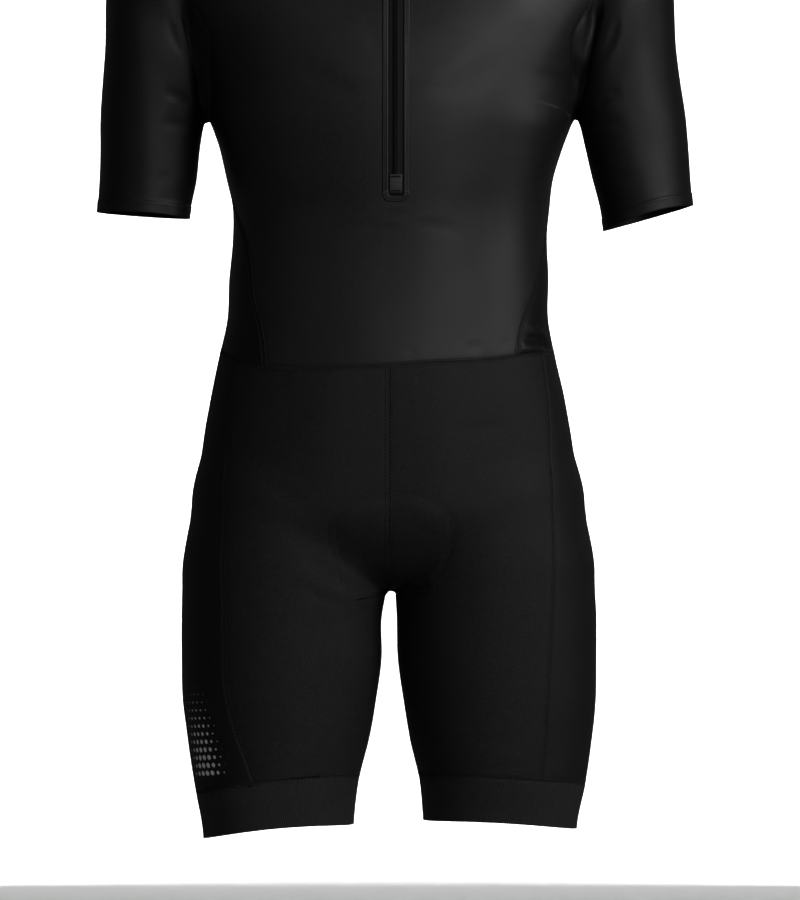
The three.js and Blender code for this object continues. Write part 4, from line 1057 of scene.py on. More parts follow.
@dataclass
class Cloth:
    """One cut piece as a closed thin shell on the figure.

    Attributes:
        name: The piece's name.
        node: The solid that it stands for.
        finish: What it is made of.
        grids: The stretches of cloth that it is joined from.
        sewn: Seams along its edges, where the cloth dips.
        lift: How far the outside stands over the form, from each point's place up the cloth.
        wall: Thickness of the cloth.
    """

    name: str
    node: str
    finish: Finish
    grids: list[Grid]
    sewn: list[Line]
    drape: Drape | None = None
    lift: Callable[[Points], Points] | None = None
    wall: float = WALL
    dip: float = 0.55

    def edge(self, p: Points) -> Points:
        """Returns 1 on a sewn edge, falling to 0 a few millimetres into the cloth."""
        if not self.sewn:
            return np.zeros(len(p))
        dense = np.concatenate([line.places(np.linspace(0, len(line.at) - 1, 4 * len(line.at))).at for line in self.sewn])
        best = np.full(len(p), 1e9)
        for start in range(0, len(p), 400):
            block = p[start : start + 400]
            box = np.all((dense > block.min(0) - 9) & (dense < block.max(0) + 9), axis=1)
            if box.any():
                away = np.linalg.norm(block[:, None] - dense[box][None], axis=2).min(axis=1)
                best[start : start + 400] = away
        return np.exp(-((best / 2.6) ** 2))

    def build(self) -> bpy.types.Object:
        """Returns:
            The piece.
        """
        at = np.concatenate([grid.at.reshape(-1, 3) for grid in self.grids])
        out = np.concatenate([grid.out.reshape(-1, 3) for grid in self.grids])
        uv = np.concatenate([grid.uv().reshape(-1, 2) for grid in self.grids])
        quads, offset = [], 0
        for grid in self.grids:
            rows, width = grid.at.shape[:2]
            index = np.arange(rows * width).reshape(rows, width) + offset
            quad = np.stack([index[:-1, :-1], index[:-1, 1:], index[1:, 1:], index[1:, :-1]], axis=-1).reshape(-1, 4)
            a, b, d = at[quad[:, 0]], at[quad[:, 1]], at[quad[:, 3]]
            if np.einsum("ij,ij->i", np.cross(b - a, d - a), out[quad[:, 0]]).sum() < 0:
                quad = quad[:, ::-1]
            quads.append(quad)
            offset += rows * width
        quad = np.concatenate(quads)
        _, keep, merged = np.unique(np.round(at / 0.02).astype(np.int64), axis=0, return_index=True, return_inverse=True)
        merged = merged.reshape(-1)
        corners = merged[quad]
        whole = np.array([len(set(row)) > 2 for row in corners.tolist()])
        corners, quad = corners[whole], quad[whole]
        p, n = at[keep], out[keep]
        edge = self.edge(p)
        rise = np.zeros(len(p)) if self.drape is None else self.drape.lift(p)
        over = np.zeros(len(p)) if self.lift is None else self.lift(uv[keep])
        outer = p + n * (rise + over - self.dip * edge)[:, None]
        inner = p + n * (rise - self.wall - 0.2 * edge)[:, None]
        ring = corners.tolist()
        use: dict[tuple[int, int], int] = {}
        for face in ring:
            for a, b in zip(face, face[1:] + face[:1]):
                use[(a, b)] = use.get((a, b), 0) + 1
        rim = [(a, b) for (a, b) in use if (b, a) not in use and a != b]
        count = len(p)
        rim_points = {a: 2 * count + k for k, a in enumerate(sorted({a for pair in rim for a in pair}))}
        ways = np.zeros((count, 3))
        for a, b in rim:
            way = np.cross(p[b] - p[a], n[a])
            ways[a] += way
            ways[b] += way
        rims = np.array(sorted(rim_points), int)
        bulge = (outer[rims] + inner[rims]) / 2 + unit(ways[rims]) * 0.28
        faces = [face for face in ring] + [[a + count for a in face[::-1]] for face in ring]
        for a, b in rim:
            faces.append([b, a, rim_points[a], rim_points[b]])
            faces.append([rim_points[b], rim_points[a], a + count, b + count])
        spread = np.zeros((2 * count + len(rims), 2))
        spread[:count] = spread[count : 2 * count] = uv[keep]
        spread[2 * count :] = uv[keep][rims]
        corner_uv = [uv[quad].reshape(-1, 2), uv[quad[:, ::-1]].reshape(-1, 2)]
        corner_uv += [spread[faces[k]] for k in range(2 * len(ring), len(faces))]
        mesh = bpy.data.meshes.new(self.name)
        mesh.from_pydata((np.concatenate([outer, inner, bulge]) / 1000).tolist(), [], faces)
        layer = mesh.uv_layers.new(name="cloth")
        layer.uv.foreach_set("vector", (np.concatenate(corner_uv) / 1000).astype(np.float32).ravel())
        mark = mesh.attributes.new("edge", "FLOAT", "POINT")
        mark.data.foreach_set("value", np.concatenate([edge, edge, edge[rims]]).astype(np.float32))
        mesh.shade_smooth()
        mesh.validate()
        piece = make_object(self.name, mesh, self.finish)
        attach(piece, GARMENT)
        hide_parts(self.node)
        wide = sum(np.ptp(grid.uv()[..., 0], axis=1).max() for grid in self.grids) / 1000
        long = max(grid.uv()[..., 1].max() for grid in self.grids) / 1000
        return piece

    @staticmethod
    def _area(at: Points, quad: Points) -> float:
        """Returns the area of the quads in square millimetres."""
        a, b, c, d = (at[quad[:, k]] for k in range(4))
        return (np.linalg.norm(np.cross(b - a, c - a), axis=1) + np.linalg.norm(np.cross(c - a, d - a), axis=1)).sum() / 2


@dataclass
class HalfSuit:
    """The seams of one side of the suit."""

    side: Side
    columns_front: int = 0
    columns_back: int = 0

    FRONT_WAIST = {
        Side.RIGHT: ((CENTRE_X, -471.5), (-60, -474), (-95, -473.5), (-117, -471.5)),
        Side.LEFT: ((CENTRE_X, -471.5), (41, -468.5), (89, -466), (114.5, -462)),
    }
    FLANK_WAIST = {
        Side.RIGHT: ((-117, -471.5), (-130, -469.5), (-145, -466)),
        Side.LEFT: ((114.5, -462), (128, -460), (140, -459)),
    }
    PANEL_FACE = {
        Side.RIGHT: ((-121, -438), (-128, -410), (-132, -369), (-137, -350)),
        Side.LEFT: ((121, -431), (132, -405), (138, -380)),
    }
    PANEL_FLANK = {
        Side.RIGHT: ((-20, -318), (-9, -288), (-4, -262)),
        Side.LEFT: ((-22, -350), (-10, -316), (-5, -285), (-4, -262)),
    }
    PANEL_BACK = ((60, -400), (54, -330), (42, -275))
    UNDERARM_FRONT = (169, -3, -238)
    UNDERARM_BACK = (169, 26, -238)
    ARMHOLE_FRONT = (
        (168.5, -28, -215), (168, -48, -188), (168, -60, -166), (176, -62, -149), (188, -56, -130),
        (196, -42, -100), (199, -18, -62),
    )
    ARMHOLE_BACK = (
        (171, 50, -215), (173, 66, -188), (176, 74, -160), (184, 74, -130), (193, 58, -95), (199, 32, -60),
    )
    SHOULDER_END = (198, 8, -46)
    THIGH_FRONT = {
        Side.RIGHT: (
            (-145, -466), (-151, -520), (-154, -600), (-155, -700), (-153, -768), (-142, -815), (-134, -837),
            (-125, -863),
        ),
        Side.LEFT: (
            (140, -459), (146, -520), (149, -600), (148, -700), (143, -781), (140, -830), (137, -853),
        ),
    }
    THIGH_BACK = ((118, -450), (128, -520), (133, -600), (133, -700), (131, -780), (126, -830), (122, -858))
    BAND = {
        Side.RIGHT: ((-852, -854, -868, -858), (-897, -898, -910, -900)),
        Side.LEFT: ((-850, -852, -859, -854), (-893, -893, -901, -896)),
    }
    SLEEVE = {Side.RIGHT: (-334, -329, -328, -331), Side.LEFT: (-346, -330, -322, -334)}
    SLEEVE_BEND = (-255, -190, -75, -180)
    WAIST_SIDE, WAIST_BACK = -458, -450

    def __post_init__(self) -> None:
        """Lays every seam of the side."""
        self.arm, self.thigh = arm_core(self.side), thigh_core(self.side)
        self.waist_count = 8 if self.side is Side.RIGHT else 9
        self._lay_waist()
        self._lay_armhole()
        self._lay_top_seams()
        self._lay_shorts()

    def mirror(self, rows: Sequence[tuple[float, float, float]]) -> Points:
        """Returns points with X on this side."""
        return np.array(rows, float) * (self.side.value, 1, 1)

    def _lay_waist(self) -> None:
        """Lays the waist seam in its five stretches."""
        side, sign = self.side, self.side.value
        self.waist_front = seam(front_at(self.FRONT_WAIST[side]), self.waist_count, torso_core)
        self.flank_front = seam(front_at(self.FLANK_WAIST[side]), 1, torso_core).pinned(self.waist_front.at[-1])
        self.thigh_top = back_at([(sign * 118, self.WAIST_BACK)])[0]
        panel_top = back_at([(sign * 98, self.WAIST_BACK)])[0]
        corners = side_at(side, [(-20, self.WAIST_SIDE), (30, self.WAIST_SIDE + 2)])
        self.waist_side = seam(np.vstack([self.flank_front.at[-1:], corners, self.thigh_top]), 4, torso_core)
        self.flank_back = seam(np.vstack([self.thigh_top, panel_top]), 1, torso_core).pinned(self.waist_side.at[-1])
        rest = back_at([(sign * 50, self.WAIST_BACK), (CENTRE_X, self.WAIST_BACK)])
        self.waist_back = seam(np.vstack([panel_top, rest]), self.waist_count, torso_core)

    def _lay_armhole(self) -> None:
        """Lays the armhole's three stretches and the ring round the sleeve's head."""
        under_front, under_back, end = self.mirror([self.UNDERARM_FRONT, self.UNDERARM_BACK, self.SHOULDER_END])
        self.under = seam(np.vstack([under_front, under_back]), 6, armhole_core)
        self.hole_front = seam(np.vstack([under_front, self.mirror(self.ARMHOLE_FRONT), end]), 10, armhole_core)
        self.hole_back = seam(np.vstack([under_back, self.mirror(self.ARMHOLE_BACK), end]), 10, armhole_core)
        self.hole = self.hole_front.then(self.hole_back.back(), self.under.back())

    def _link(self, start: Points, end: Points, core: Core) -> Line:
        """Returns a short straight seam of one quad of the solid."""
        return seam(np.vstack([start, end]), 1, core).pinned(start, end)

    def _lay_top_seams(self) -> None:
        """Lays the side panel's edges, the shoulder, the neckline, the slit and the back's middle."""
        side, sign = self.side, self.side.value
        front = np.vstack([self.waist_front.at[-1:], front_at(self.PANEL_FACE[side]), side_at(side, self.PANEL_FLANK[side])])
        self.panel_front = seam(front, 10, torso_core)
        self.panel_front = self.panel_front.then(self._link(self.panel_front.at[-1], self.under.at[0], torso_core))
        back = np.vstack([self.flank_back.at[-1:], side_at(side, self.PANEL_BACK)])
        self.panel_back = seam(back, 10, torso_core)
        self.panel_back = self.panel_back.then(self._link(self.panel_back.at[-1], self.under.at[-1], torso_core))
        neck_side = points((sign * 62 + 4, 6, 11))
        neck_side = FIGURE.meet(neck_side, neck_core(neck_side)).at
        self.shoulder = seam(np.vstack([self.hole_front.at[-1:], [(sign * 130, 8, -20)], neck_side]), 8, yoke_core)
        self.shoulder = self.shoulder.pinned(self.hole_front.at[-1], neck_side[0])
        slit_x = ZIP_X + sign * ZIP_SLOT / 2
        foot = points((slit_x, -58, -48))
        foot = FIGURE.meet(foot, zip_core(foot)).at
        guides = np.vstack([neck_side, [(sign * 48 + 4, -38, -20), (sign * 26 + 4, -55, -40)], foot])
        self.neck_front = seam(guides, 4, neck_core).pinned(neck_side[0], foot[0])
        start = self.waist_front.at[0] if side is Side.RIGHT else self.waist_front.at[FINE]
        slit_foot = points((slit_x, -100, ZIP_END))
        slit_foot = FIGURE.meet(slit_foot, zip_core(slit_foot)).at
        self.slit_below = seam(np.vstack([start, slit_foot]), 7, torso_core).pinned(start, slit_foot[0])
        guides = np.vstack([slit_foot, [(slit_x, -118, -205), (slit_x, -100, -110)], foot])
        self.slit_above = seam(guides, 10, zip_core).pinned(slit_foot[0], foot[0])
        nape = points((4 + sign * 10, 66, 5))
        nape = FIGURE.meet(nape, neck_core(nape)).at
        self.neck_back = seam(np.vstack([neck_side, [(sign * 44 + 4, 48, 7)], nape]), 3, neck_core).pinned(neck_side[0], nape[0])
        start = self.waist_back.at[-1] if side is Side.RIGHT else self.waist_back.at[-1 - FINE]
        middle = back_at([(4 + sign * 10, -250), (4 + sign * 10, -90)])
        self.back_line = seam(np.vstack([start, middle, nape]), 18, torso_core).pinned(start, nape[0])

    def _limb_ring(self, rings: Tube, line: tuple[float, float, float, float], rise: float = 0) -> Points:
        """Returns a closed ring of guide points round a limb whose height changes from side to side.

        Args:
            rings: The limb.
            line: Heights at the inner side, front, outer side and back.
            rise: How far above the line the ring lies.

        Returns:
            Sixteen points, from the outer side by way of the front.
        """
        inner, front, outer, back = line
        turn = 2 * math.pi * np.arange(16) / 16
        x, y = np.cos(turn), np.sin(turn)
        sides = (outer + inner) / 2
        z = sides + (outer - inner) / 2 * x + np.where(y > 0, front - sides, back - sides) * y * y + rise
        middle, half, centre, depth, _, _ = rings.ring(z)
        return columns(middle + self.side.value * half * x, centre - depth * y, z)

    @staticmethod
    def _along(ring: Points, start: float, end: float, count: int, core: Core) -> Line:
        """Returns a seam along a closed ring, between places counted as the ring runs."""
        guides = Curve(ring, closed=True).at(np.linspace(start, end, count * FINE + 1))
        return FIGURE.meet(guides, core(guides))

    def sleeve_ring(self, line: tuple[float, float, float, float], rise: float = 0) -> Line:
        """Returns a ring round the sleeve, point for point under the armhole."""
        ring, share = self._limb_ring(ARMS[self.side], line, rise), 0.03
        front = self._along(ring, 0.5 - share, 0, 10, self.arm)
        return front.then(
            self._along(ring, 0, share - 0.5, 10, self.arm), self._along(ring, share - 0.5, -0.5 - share, 6, self.arm)
        )

    def _lay_shorts(self) -> None:
        """Lays the thigh's seams, the inseam and the leg band's two edges."""
        side, sign, limb = self.side, self.side.value, LEGS[self.side]
        crotch = points(CROTCH)
        self.crotch = FIGURE.meet(crotch, centre_core(crotch)).at[0]
        self.thigh_front = seam(front_at(self.THIGH_FRONT[side]), 20, self.thigh)
        self.thigh_back = seam(back_at([(sign * x, z) for x, z in self.THIGH_BACK]), 20, self.thigh)

        def turn(p: Points) -> float:
            """Returns a point's place round the limb."""
            middle, half, centre, front, _, _ = limb.ring(p[None, 2])[:, 0]
            return math.atan2((centre - p[1]) / front, sign * (p[0] - middle) / half) / (2 * math.pi)

        stops = [0.5, turn(self.thigh_front.at[-1]), turn(self.thigh_back.at[-1]), -0.5]
        counts = [self.waist_count + 1, 4, self.waist_count + 1]
        rings = []
        for line in self.BAND[side]:
            ring = self._limb_ring(limb, line)
            rings.append([self._along(ring, a, b, n, self.thigh) for a, b, n in zip(stops, stops[1:], counts)])
        (self.band_front, self.band_side, self.band_back), hem = rings
        self.band_back = self.band_back.pinned(last=self.band_front.at[0])
        self.band_top = self.band_front.then(self.band_side, self.band_back)
        self.band_hem = hem[0].then(*hem[1:])
        self.thigh_front = self.thigh_front.pinned(self.flank_front.at[-1], self.band_front.at[-1])
        self.thigh_back = self.thigh_back.pinned(self.waist_side.at[-1], self.band_side.at[-1])
        heights = np.array([-705.0, -745.0, -800.0])
        ring = limb.ring(heights)
        inner = columns(ring[0] - sign * ring[1], CROTCH[1] - 4, heights)
        guides = np.vstack([self.crotch, inner, self.band_front.at[:1]])
        self.inseam = seam(guides, 8, self.thigh).pinned(self.crotch, self.band_front.at[0])


@dataclass(frozen=True)
class Rods:
    """Lays short arched rods along lines on the cloth: stitches of thread, or the teeth of a zip.

    Attributes:
        pitch: Distance from rod to rod in metres.
        length: Length of a rod in metres.
        thick: Thickness of a rod in metres.
        slant: How far a rod is turned from the line, in radians.
        swing: 1 if every second rod slants the other way, 0 if all slant alike.
        arch: How far a rod's middle rises, in its own thickness.
        loose: How uneven the slant is, in radians.
    """

    pitch: float
    length: float
    thick: float = 0.0005
    slant: float = 0.0
    swing: float = 0.0
    arch: float = 0.8
    loose: float = 0.05

    INPUTS = ("Pitch", "Length", "Thickness", "Slant", "Swing", "Arch", "Looseness")

    @classmethod
    def tree(cls) -> bpy.types.NodeTree:
        """Builds the tree that lays the rods, or returns it if it was built before."""
        made = bpy.data.node_groups.get("laid_rods")
        if made:
            return made
        made = bpy.data.node_groups.new("laid_rods", "GeometryNodeTree")
        made.interface.new_socket("Lines", in_out="INPUT", socket_type="NodeSocketGeometry")
        for name in cls.INPUTS:
            made.interface.new_socket(name, in_out="INPUT", socket_type="NodeSocketFloat")
        made.interface.new_socket("Seed", in_out="INPUT", socket_type="NodeSocketInt")
        made.interface.new_socket("Material", in_out="INPUT", socket_type="NodeSocketMaterial")
        made.interface.new_socket("Rods", in_out="OUTPUT", socket_type="NodeSocketGeometry")
        wiring = Wiring(made)
        given = wiring.add("NodeGroupInput")
        take = {name: wiring.value(given, name) for name in ("Lines", *cls.INPUTS, "Seed", "Material")}
        curve = wiring.add("GeometryNodeMeshToCurve", None, {"Mesh": take["Lines"]})
        spaced = wiring.add("GeometryNodeResampleCurve", {"mode": "LENGTH"}, {"Curve": wiring.value(curve), "Length": take["Pitch"]})
        out = wiring.add("GeometryNodeInputNamedAttribute", {"data_type": "FLOAT_VECTOR"}, {"Name": "out"})
        run = wiring.value(wiring.add("GeometryNodeInputTangent"))
        faced = wiring.add("FunctionNodeAlignRotationToVector", {"axis": "X"}, {"Vector": run})
        turned = wiring.add(
            "FunctionNodeAlignRotationToVector",
            {"axis": "Z", "pivot_axis": "X"},
            {"Rotation": wiring.value(faced), "Vector": wiring.value(out)},
        )
        index = wiring.value(wiring.add("GeometryNodeInputIndex"))
        odd = (index * 0.5).fract() * 4 - 1
        sign = 1 - take["Swing"] + take["Swing"] * odd
        loose = wiring.add("FunctionNodeRandomValue", {"data_type": "FLOAT"}, {"ID": index, "Seed": take["Seed"]})
        wiring.tree.links.new((take["Looseness"] * -1).socket, loose.inputs[2])
        wiring.tree.links.new(take["Looseness"].socket, loose.inputs[3])
        angle = take["Slant"] * sign + wiring.value(loose, 1)
        spin = wiring.add("FunctionNodeAxisAngleToRotation", None, {"Axis": (0, 0, 1), "Angle": angle})
        rotation = wiring.add(
            "FunctionNodeRotateRotation",
            {"rotation_space": "LOCAL"},
            {"Rotation": wiring.value(turned), "Rotate By": wiring.value(spin)},
        )
        half = take["Length"] * 0.5
        ends = [
            wiring.value(wiring.add("ShaderNodeCombineXYZ", None, {"X": x, "Z": z}))
            for x, z in ((half * -1, 0.0), (0.0, take["Thickness"] * take["Arch"] * 2), (half, 0.0))
        ]
        spine = wiring.add("GeometryNodeCurveQuadraticBezier", None, dict(zip(("Start", "Middle", "End"), ends)))
        spine.inputs["Resolution"].default_value = 3
        round_ = wiring.add("GeometryNodeCurvePrimitiveCircle", None, {"Resolution": 5, "Radius": take["Thickness"] * 0.5})
        rod = wiring.add(
            "GeometryNodeCurveToMesh",
            None,
            {"Curve": wiring.value(spine), "Profile Curve": wiring.value(round_), "Fill Caps": True},
        )
        laid = wiring.add(
            "GeometryNodeInstanceOnPoints",
            None,
            {"Points": wiring.value(spaced), "Instance": wiring.value(rod), "Rotation": wiring.value(rotation)},
        )
        real = wiring.add("GeometryNodeRealizeInstances", None, {"Geometry": wiring.value(laid)})
        smooth = wiring.add("GeometryNodeSetShadeSmooth", None, {"Geometry": wiring.value(real)})
        dressed = wiring.add("GeometryNodeSetMaterial", None, {"Geometry": wiring.value(smooth), "Material": take["Material"]})
        result = wiring.add("NodeGroupOutput")
        made.links.new(dressed.outputs[0], result.inputs["Rods"])
        return made

    def lay(self, name: str, lines: Sequence[Line], finish: Finish, seed: int) -> bpy.types.Mesh:
        """Lays the rods along lines.

        Args:
            name: The mesh's name.
            lines: Lines on the cloth's outside, in millimetres.
            finish: The rods' finish.
            seed: The seed of their unevenness.

        Returns:
            The rods as one plain mesh.
        """
        places = np.concatenate([line.at for line in lines]) / 1000
        outs = np.concatenate([line.out for line in lines])
        edges, start = [], 0
        for line in lines:
            edges += [(k, k + 1) for k in range(start, start + len(line.at) - 1)]
            start += len(line.at)
        mesh = bpy.data.meshes.new(f"{name}_lines")
        mesh.from_pydata(places.tolist(), edges, [])
        layer = mesh.attributes.new("out", "FLOAT_VECTOR", "POINT")
        layer.data.foreach_set("vector", outs.astype(np.float32).ravel())
        holder = bpy.data.objects.new(f"{name}_lines", mesh)
        bpy.context.scene.collection.objects.link(holder)
        modifier = holder.modifiers.new("rods", "NODES")
        modifier.node_group = self.tree()
        values = (self.pitch, self.length, self.thick, self.slant, self.swing, self.arch, self.loose)
        chosen = dict(zip(self.INPUTS, values)) | {"Seed": seed, "Material": finish.material()}
        for item in self.tree().interface.items_tree:
            if item.item_type == "SOCKET" and item.in_out == "INPUT" and item.name in chosen:
                modifier[item.identifier] = chosen[item.name]
        made = bpy.data.meshes.new_from_object(holder.evaluated_get(bpy.context.evaluated_depsgraph_get()))
        made.name = name
        holder.modifiers.remove(modifier)
        bpy.data.objects.remove(holder)
        return made


@dataclass
class Sewing:
    """The suit's seams and hems in thread.

    Attributes:
        drape: The creases that the thread follows.
    """

    drape: Drape
    cover: Rods = Rods(pitch=0.0017, length=0.0052, thick=0.00042, slant=1.15, swing=1, arch=0.35)
    needle: Rods = Rods(pitch=0.0026, length=0.0022, thick=0.0005, arch=0.5)
    hem: Rods = Rods(pitch=0.0029, length=0.0024, thick=0.00045, arch=0.45)

    def raised(self, line: Line, rise: float, across: float = 0.0) -> Line:
        """Returns a line on the cloth's outside, moved sideways over the form.

        Args:
            line: The seam on the form.
            rise: How far over the form the thread lies.
            across: How far to its side it runs.

        Returns:
            The thread's line.
        """
        at = line.at
        if across:
            run = np.gradient(at, axis=0)
            at = at + unit(np.cross(line.out, run)) * across
        keep = np.concatenate([[True], np.linalg.norm(np.diff(at, axis=0), axis=1) > 1e-3])
        return Line((at + line.out * (self.drape.lift(at) + rise)[:, None])[keep], line.out[keep])

    def flat_seam(self, name: str, lines: Sequence[Line], rise: float = 0.0) -> None:
        """Sews flat seams: two needle lines with covering threads between them."""
        cover = self.cover.lay(f"{name}_cover", [self.raised(line, rise - 0.25) for line in lines], Cloths.THREAD.value, 3)
        rows = [self.raised(line, rise + 0.05, across) for line in lines for across in (-2.4, 2.4)]
        needle = self.needle.lay(f"{name}_needle", rows, Cloths.THREAD.value, 5)
        for part, mesh in (("cover", cover), ("needle", needle)):
            self.piece(f"{name}_{part}", mesh)

    def row(
        self, name: str, lines: Sequence[Line], rise: float, offsets: Sequence[float] = (0.0,),
        thread: Cloths = Cloths.THREAD,
    ) -> None:
        """Sews single rows of stitches, beside a line if offsets are given."""
        rows = [self.raised(line, rise, across) for line in lines for across in offsets]
        self.piece(name, self.hem.lay(name, rows, thread.value, 9), thread)

    @staticmethod
    def piece(name: str, mesh: bpy.types.Mesh, thread: Cloths = Cloths.THREAD) -> None:
        """Puts a run of thread into the scene."""
        piece = make_object(name, mesh, thread.value)
        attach(piece, GARMENT)
        log.info("%s: %d faces", name, len(mesh.polygons))


@dataclass
class Suit:
    """The cut pieces of the suit, sewn together along shared seams."""

    drape: Drape
    right: HalfSuit = field(default_factory=lambda: HalfSuit(Side.RIGHT))
    left: HalfSuit = field(default_factory=lambda: HalfSuit(Side.LEFT))

    def __post_init__(self) -> None:
        """Lays the seams that both sides share."""
        crotch = self.right.crotch
        front = np.vstack([
            self.right.waist_front.at[:1], front_at([(CENTRE_X, -540), (CENTRE_X, -600)]),
            [(CENTRE_X, -84, -635), (CENTRE_X, -55, -660), (CENTRE_X, -20, -676)], crotch,
        ])
        self.centre_front = seam(front, 12, centre_core).pinned(self.right.waist_front.at[0], crotch)
        back = np.vstack([
            self.right.waist_back.at[-1:], back_at([(CENTRE_X, -520), (CENTRE_X, -590)]),
            [(CENTRE_X, 100, -635), (CENTRE_X, 75, -660), (CENTRE_X, 40, -675)], crotch,
        ])
        self.centre_back = seam(back, 12, centre_core).pinned(self.right.waist_back.at[-1], crotch)

    def _cloth(self, name: str, finish: Cloths, grids: list[Grid], sewn: list[Line], **more: object) -> None:
        """Builds one cut piece named after its solid."""
        Cloth(f"{name}_cloth", name, finish.value, grids, sewn, drape=self.drape, **more).build()

    def build_front(self) -> None:
        """Builds the front of the top: a half on each side of the slit, and the cloth under it."""
        right, left = self.right, self.left
        halves = []
        for half, waist in ((right, right.waist_front), (left, left.waist_front.part(FINE))):
            inner = half.slit_below.then(half.slit_above, half.neck_front.back())
            outer = half.panel_front.then(half.hole_front)
            halves.append(patch(waist, half.shoulder.back(), inner, outer, yoke_core))
        top = seam(np.vstack([right.slit_below.at[-1], left.slit_below.at[-1]]), 1, zip_core)
        top = top.pinned(right.slit_below.at[-1], left.slit_below.at[-1])
        under = patch(left.waist_front.part(0, FINE + 1), top, right.slit_below, left.slit_below, torso_core)
        sewn = [right.panel_front, left.panel_front, right.hole_front, left.hole_front, right.shoulder, left.shoulder]
        sewn += [right.waist_front, left.waist_front, right.neck_front, left.neck_front]
        self._cloth("front", Cloths.TOP, [*halves, under], sewn)

    def build_back(self) -> None:
        """Builds the back of the top."""
        right, left = self.right, self.left
        halves = []
        for half, waist in ((right, right.waist_back), (left, left.waist_back.part(0, -FINE))):
            inner = half.back_line.then(half.neck_back.back())
            outer = half.panel_back.then(half.hole_back)
            halves.append(patch(waist.back(), half.shoulder.back(), inner, outer, yoke_core))
        top = self._nape()
        foot = left.waist_back.part(-1 - FINE).back()
        middle = patch(foot, top, right.back_line, left.back_line, torso_core)
        sewn = [right.panel_back, left.panel_back, right.hole_back, left.hole_back, right.shoulder, left.shoulder]
        sewn += [right.waist_back, left.waist_back, right.neck_back, left.neck_back, top]
        self._cloth("back", Cloths.TOP, [*halves, middle], sewn)

    def _nape(self) -> Line:
        """Returns the short stretch of neckline between the back's two halves."""
        ends = (self.right.neck_back.at[-1], self.left.neck_back.at[-1])
        return seam(np.vstack(ends), 1, neck_core).pinned(*ends)

    def build_collar(self) -> Line:
        """Builds the stand collar.

        Returns:
            The line of its top edge.
        """
        right, left = self.right, self.left
        foot = right.neck_front.back().then(right.neck_back, self._nape(), left.neck_back.back(), left.neck_front)
        rises = np.concatenate([[0, 0.9, 2.0], np.linspace(3.5, COLLAR - 3, 8), [COLLAR - 1.6, COLLAR - 0.7, COLLAR]])
        count = len(foot.at)
        column = np.minimum(np.arange(count), np.arange(count)[::-1])
        toward = eased(column, 0, 2 * FINE)[:, None]
        rows = [foot]
        for rise in rises[1:]:
            guides = foot.at + (0, 0, rise)
            cores = zip_core(guides) * (1 - toward) + neck_core(guides) * toward
            rows.append(FIGURE.meet(guides, cores))
        grid = Grid(np.stack([row.at for row in rows]), np.stack([row.out for row in rows]))
        self._cloth("collar", Cloths.TOP, [grid], [foot])
        return Line(grid.at[-3], grid.out[-3])

    def build_sides(self) -> None:
        """Builds the top's side panels."""
        for half in (self.right, self.left):
            foot = half.flank_front.then(half.waist_side, half.flank_back)
            grid = patch(foot, half.under, half.panel_front, half.panel_back, torso_core)
            # The side panels take the darker copy of the top's knit, which is painted shade.
            self._cloth(f"side_{half.side.word}", Cloths.SIDE, [grid], [foot, half.under, half.panel_front, half.panel_back])

    def build_sleeves(self) -> list[Line]:
        """Builds the set-in sleeves with their turned hems.

        Returns:
            The line of stitches over each hem.
        """
        stitched = []
        for half in (self.right, self.left):
            hem = half.SLEEVE[half.side]
            lower = half.sleeve_ring(hem, SLEEVE_HEM + 0.4)
            bends = half.sleeve_ring(half.SLEEVE_BEND)
            turned = [half.sleeve_ring(hem, rise) for rise in (0, 0.8, 2.2, 4.2, 6.4, 8.6, 10.2, 10.9)]
            place = graded(10 * FINE, False)
            main = rows_between(lower, half.hole, place / place[-1], half.arm, bends)
            main = steadied(main.at, main.out, place, np.arange(len(lower.at)))
            main.at[-1], main.out[-1] = half.hole.at, half.hole.out
            at = np.concatenate([np.stack([ring.at for ring in turned]), main.at])
            out = np.concatenate([np.stack([ring.out for ring in turned]), main.out])
            at[:, -1], out[:, -1] = at[:, 0], out[:, 0]
            # The sleeves take the darker copy of the top's knit, which is painted shade.
            self._cloth(
                f"sleeve_{half.side.word}", Cloths.SLEEVE, [Grid(at, out)], [half.hole],
                lift=lambda uv: 0.55 * (1 - eased(uv[:, 1], 10.3, 11.4)),
            )
            stitched.append(half.sleeve_ring(hem, SLEEVE_HEM - 1.6))
        return stitched

    def build_shorts(self) -> None:
        """Builds the shorts' fronts, side panels and backs."""
        for half in (self.right, self.left):
            word = half.side.word
            middle = self.centre_front.then(half.inseam)
            top = half.waist_front.then(half.flank_front)
            grid = patch(half.band_front, top, middle.back(), half.thigh_front.back(), half.thigh)
            self._cloth(f"shorts_front_{word}", Cloths.SHORTS, [grid], [half.band_front, top, middle, half.thigh_front])
            grid = patch(half.band_side, half.waist_side, half.thigh_front.back(), half.thigh_back.back(), half.thigh)
            printed = Cloths.PRINTED if half.side is Side.RIGHT else Cloths.FLANK
            self._cloth(
                f"thigh_side_{word}", printed, [grid],
                [half.band_side, half.waist_side, half.thigh_front, half.thigh_back], dip=0.3,
            )
            middle = self.centre_back.then(half.inseam)
            top = half.flank_back.then(half.waist_back)
            grid = patch(half.band_back, top, half.thigh_back.back(), middle.back(), half.thigh)
            self._cloth(f"shorts_back_{word}", Cloths.SHORTS, [grid], [half.band_back, top, middle, half.thigh_back])

    def build_bands(self) -> None:
        """Builds the wide leg bands."""
        for half in (self.right, self.left):
            rows = 14
            shares = np.concatenate([[0, 0.02, 0.045], np.arange(1, rows) / rows, [0.955, 0.98, 1]])
            grid = rows_between(half.band_hem, half.band_top, shares, half.thigh)
            self._cloth(f"leg_band_{half.side.word}", Cloths.BAND, [grid], [half.band_top], lift=lambda uv: 0.3 + 0 * uv[:, 1])

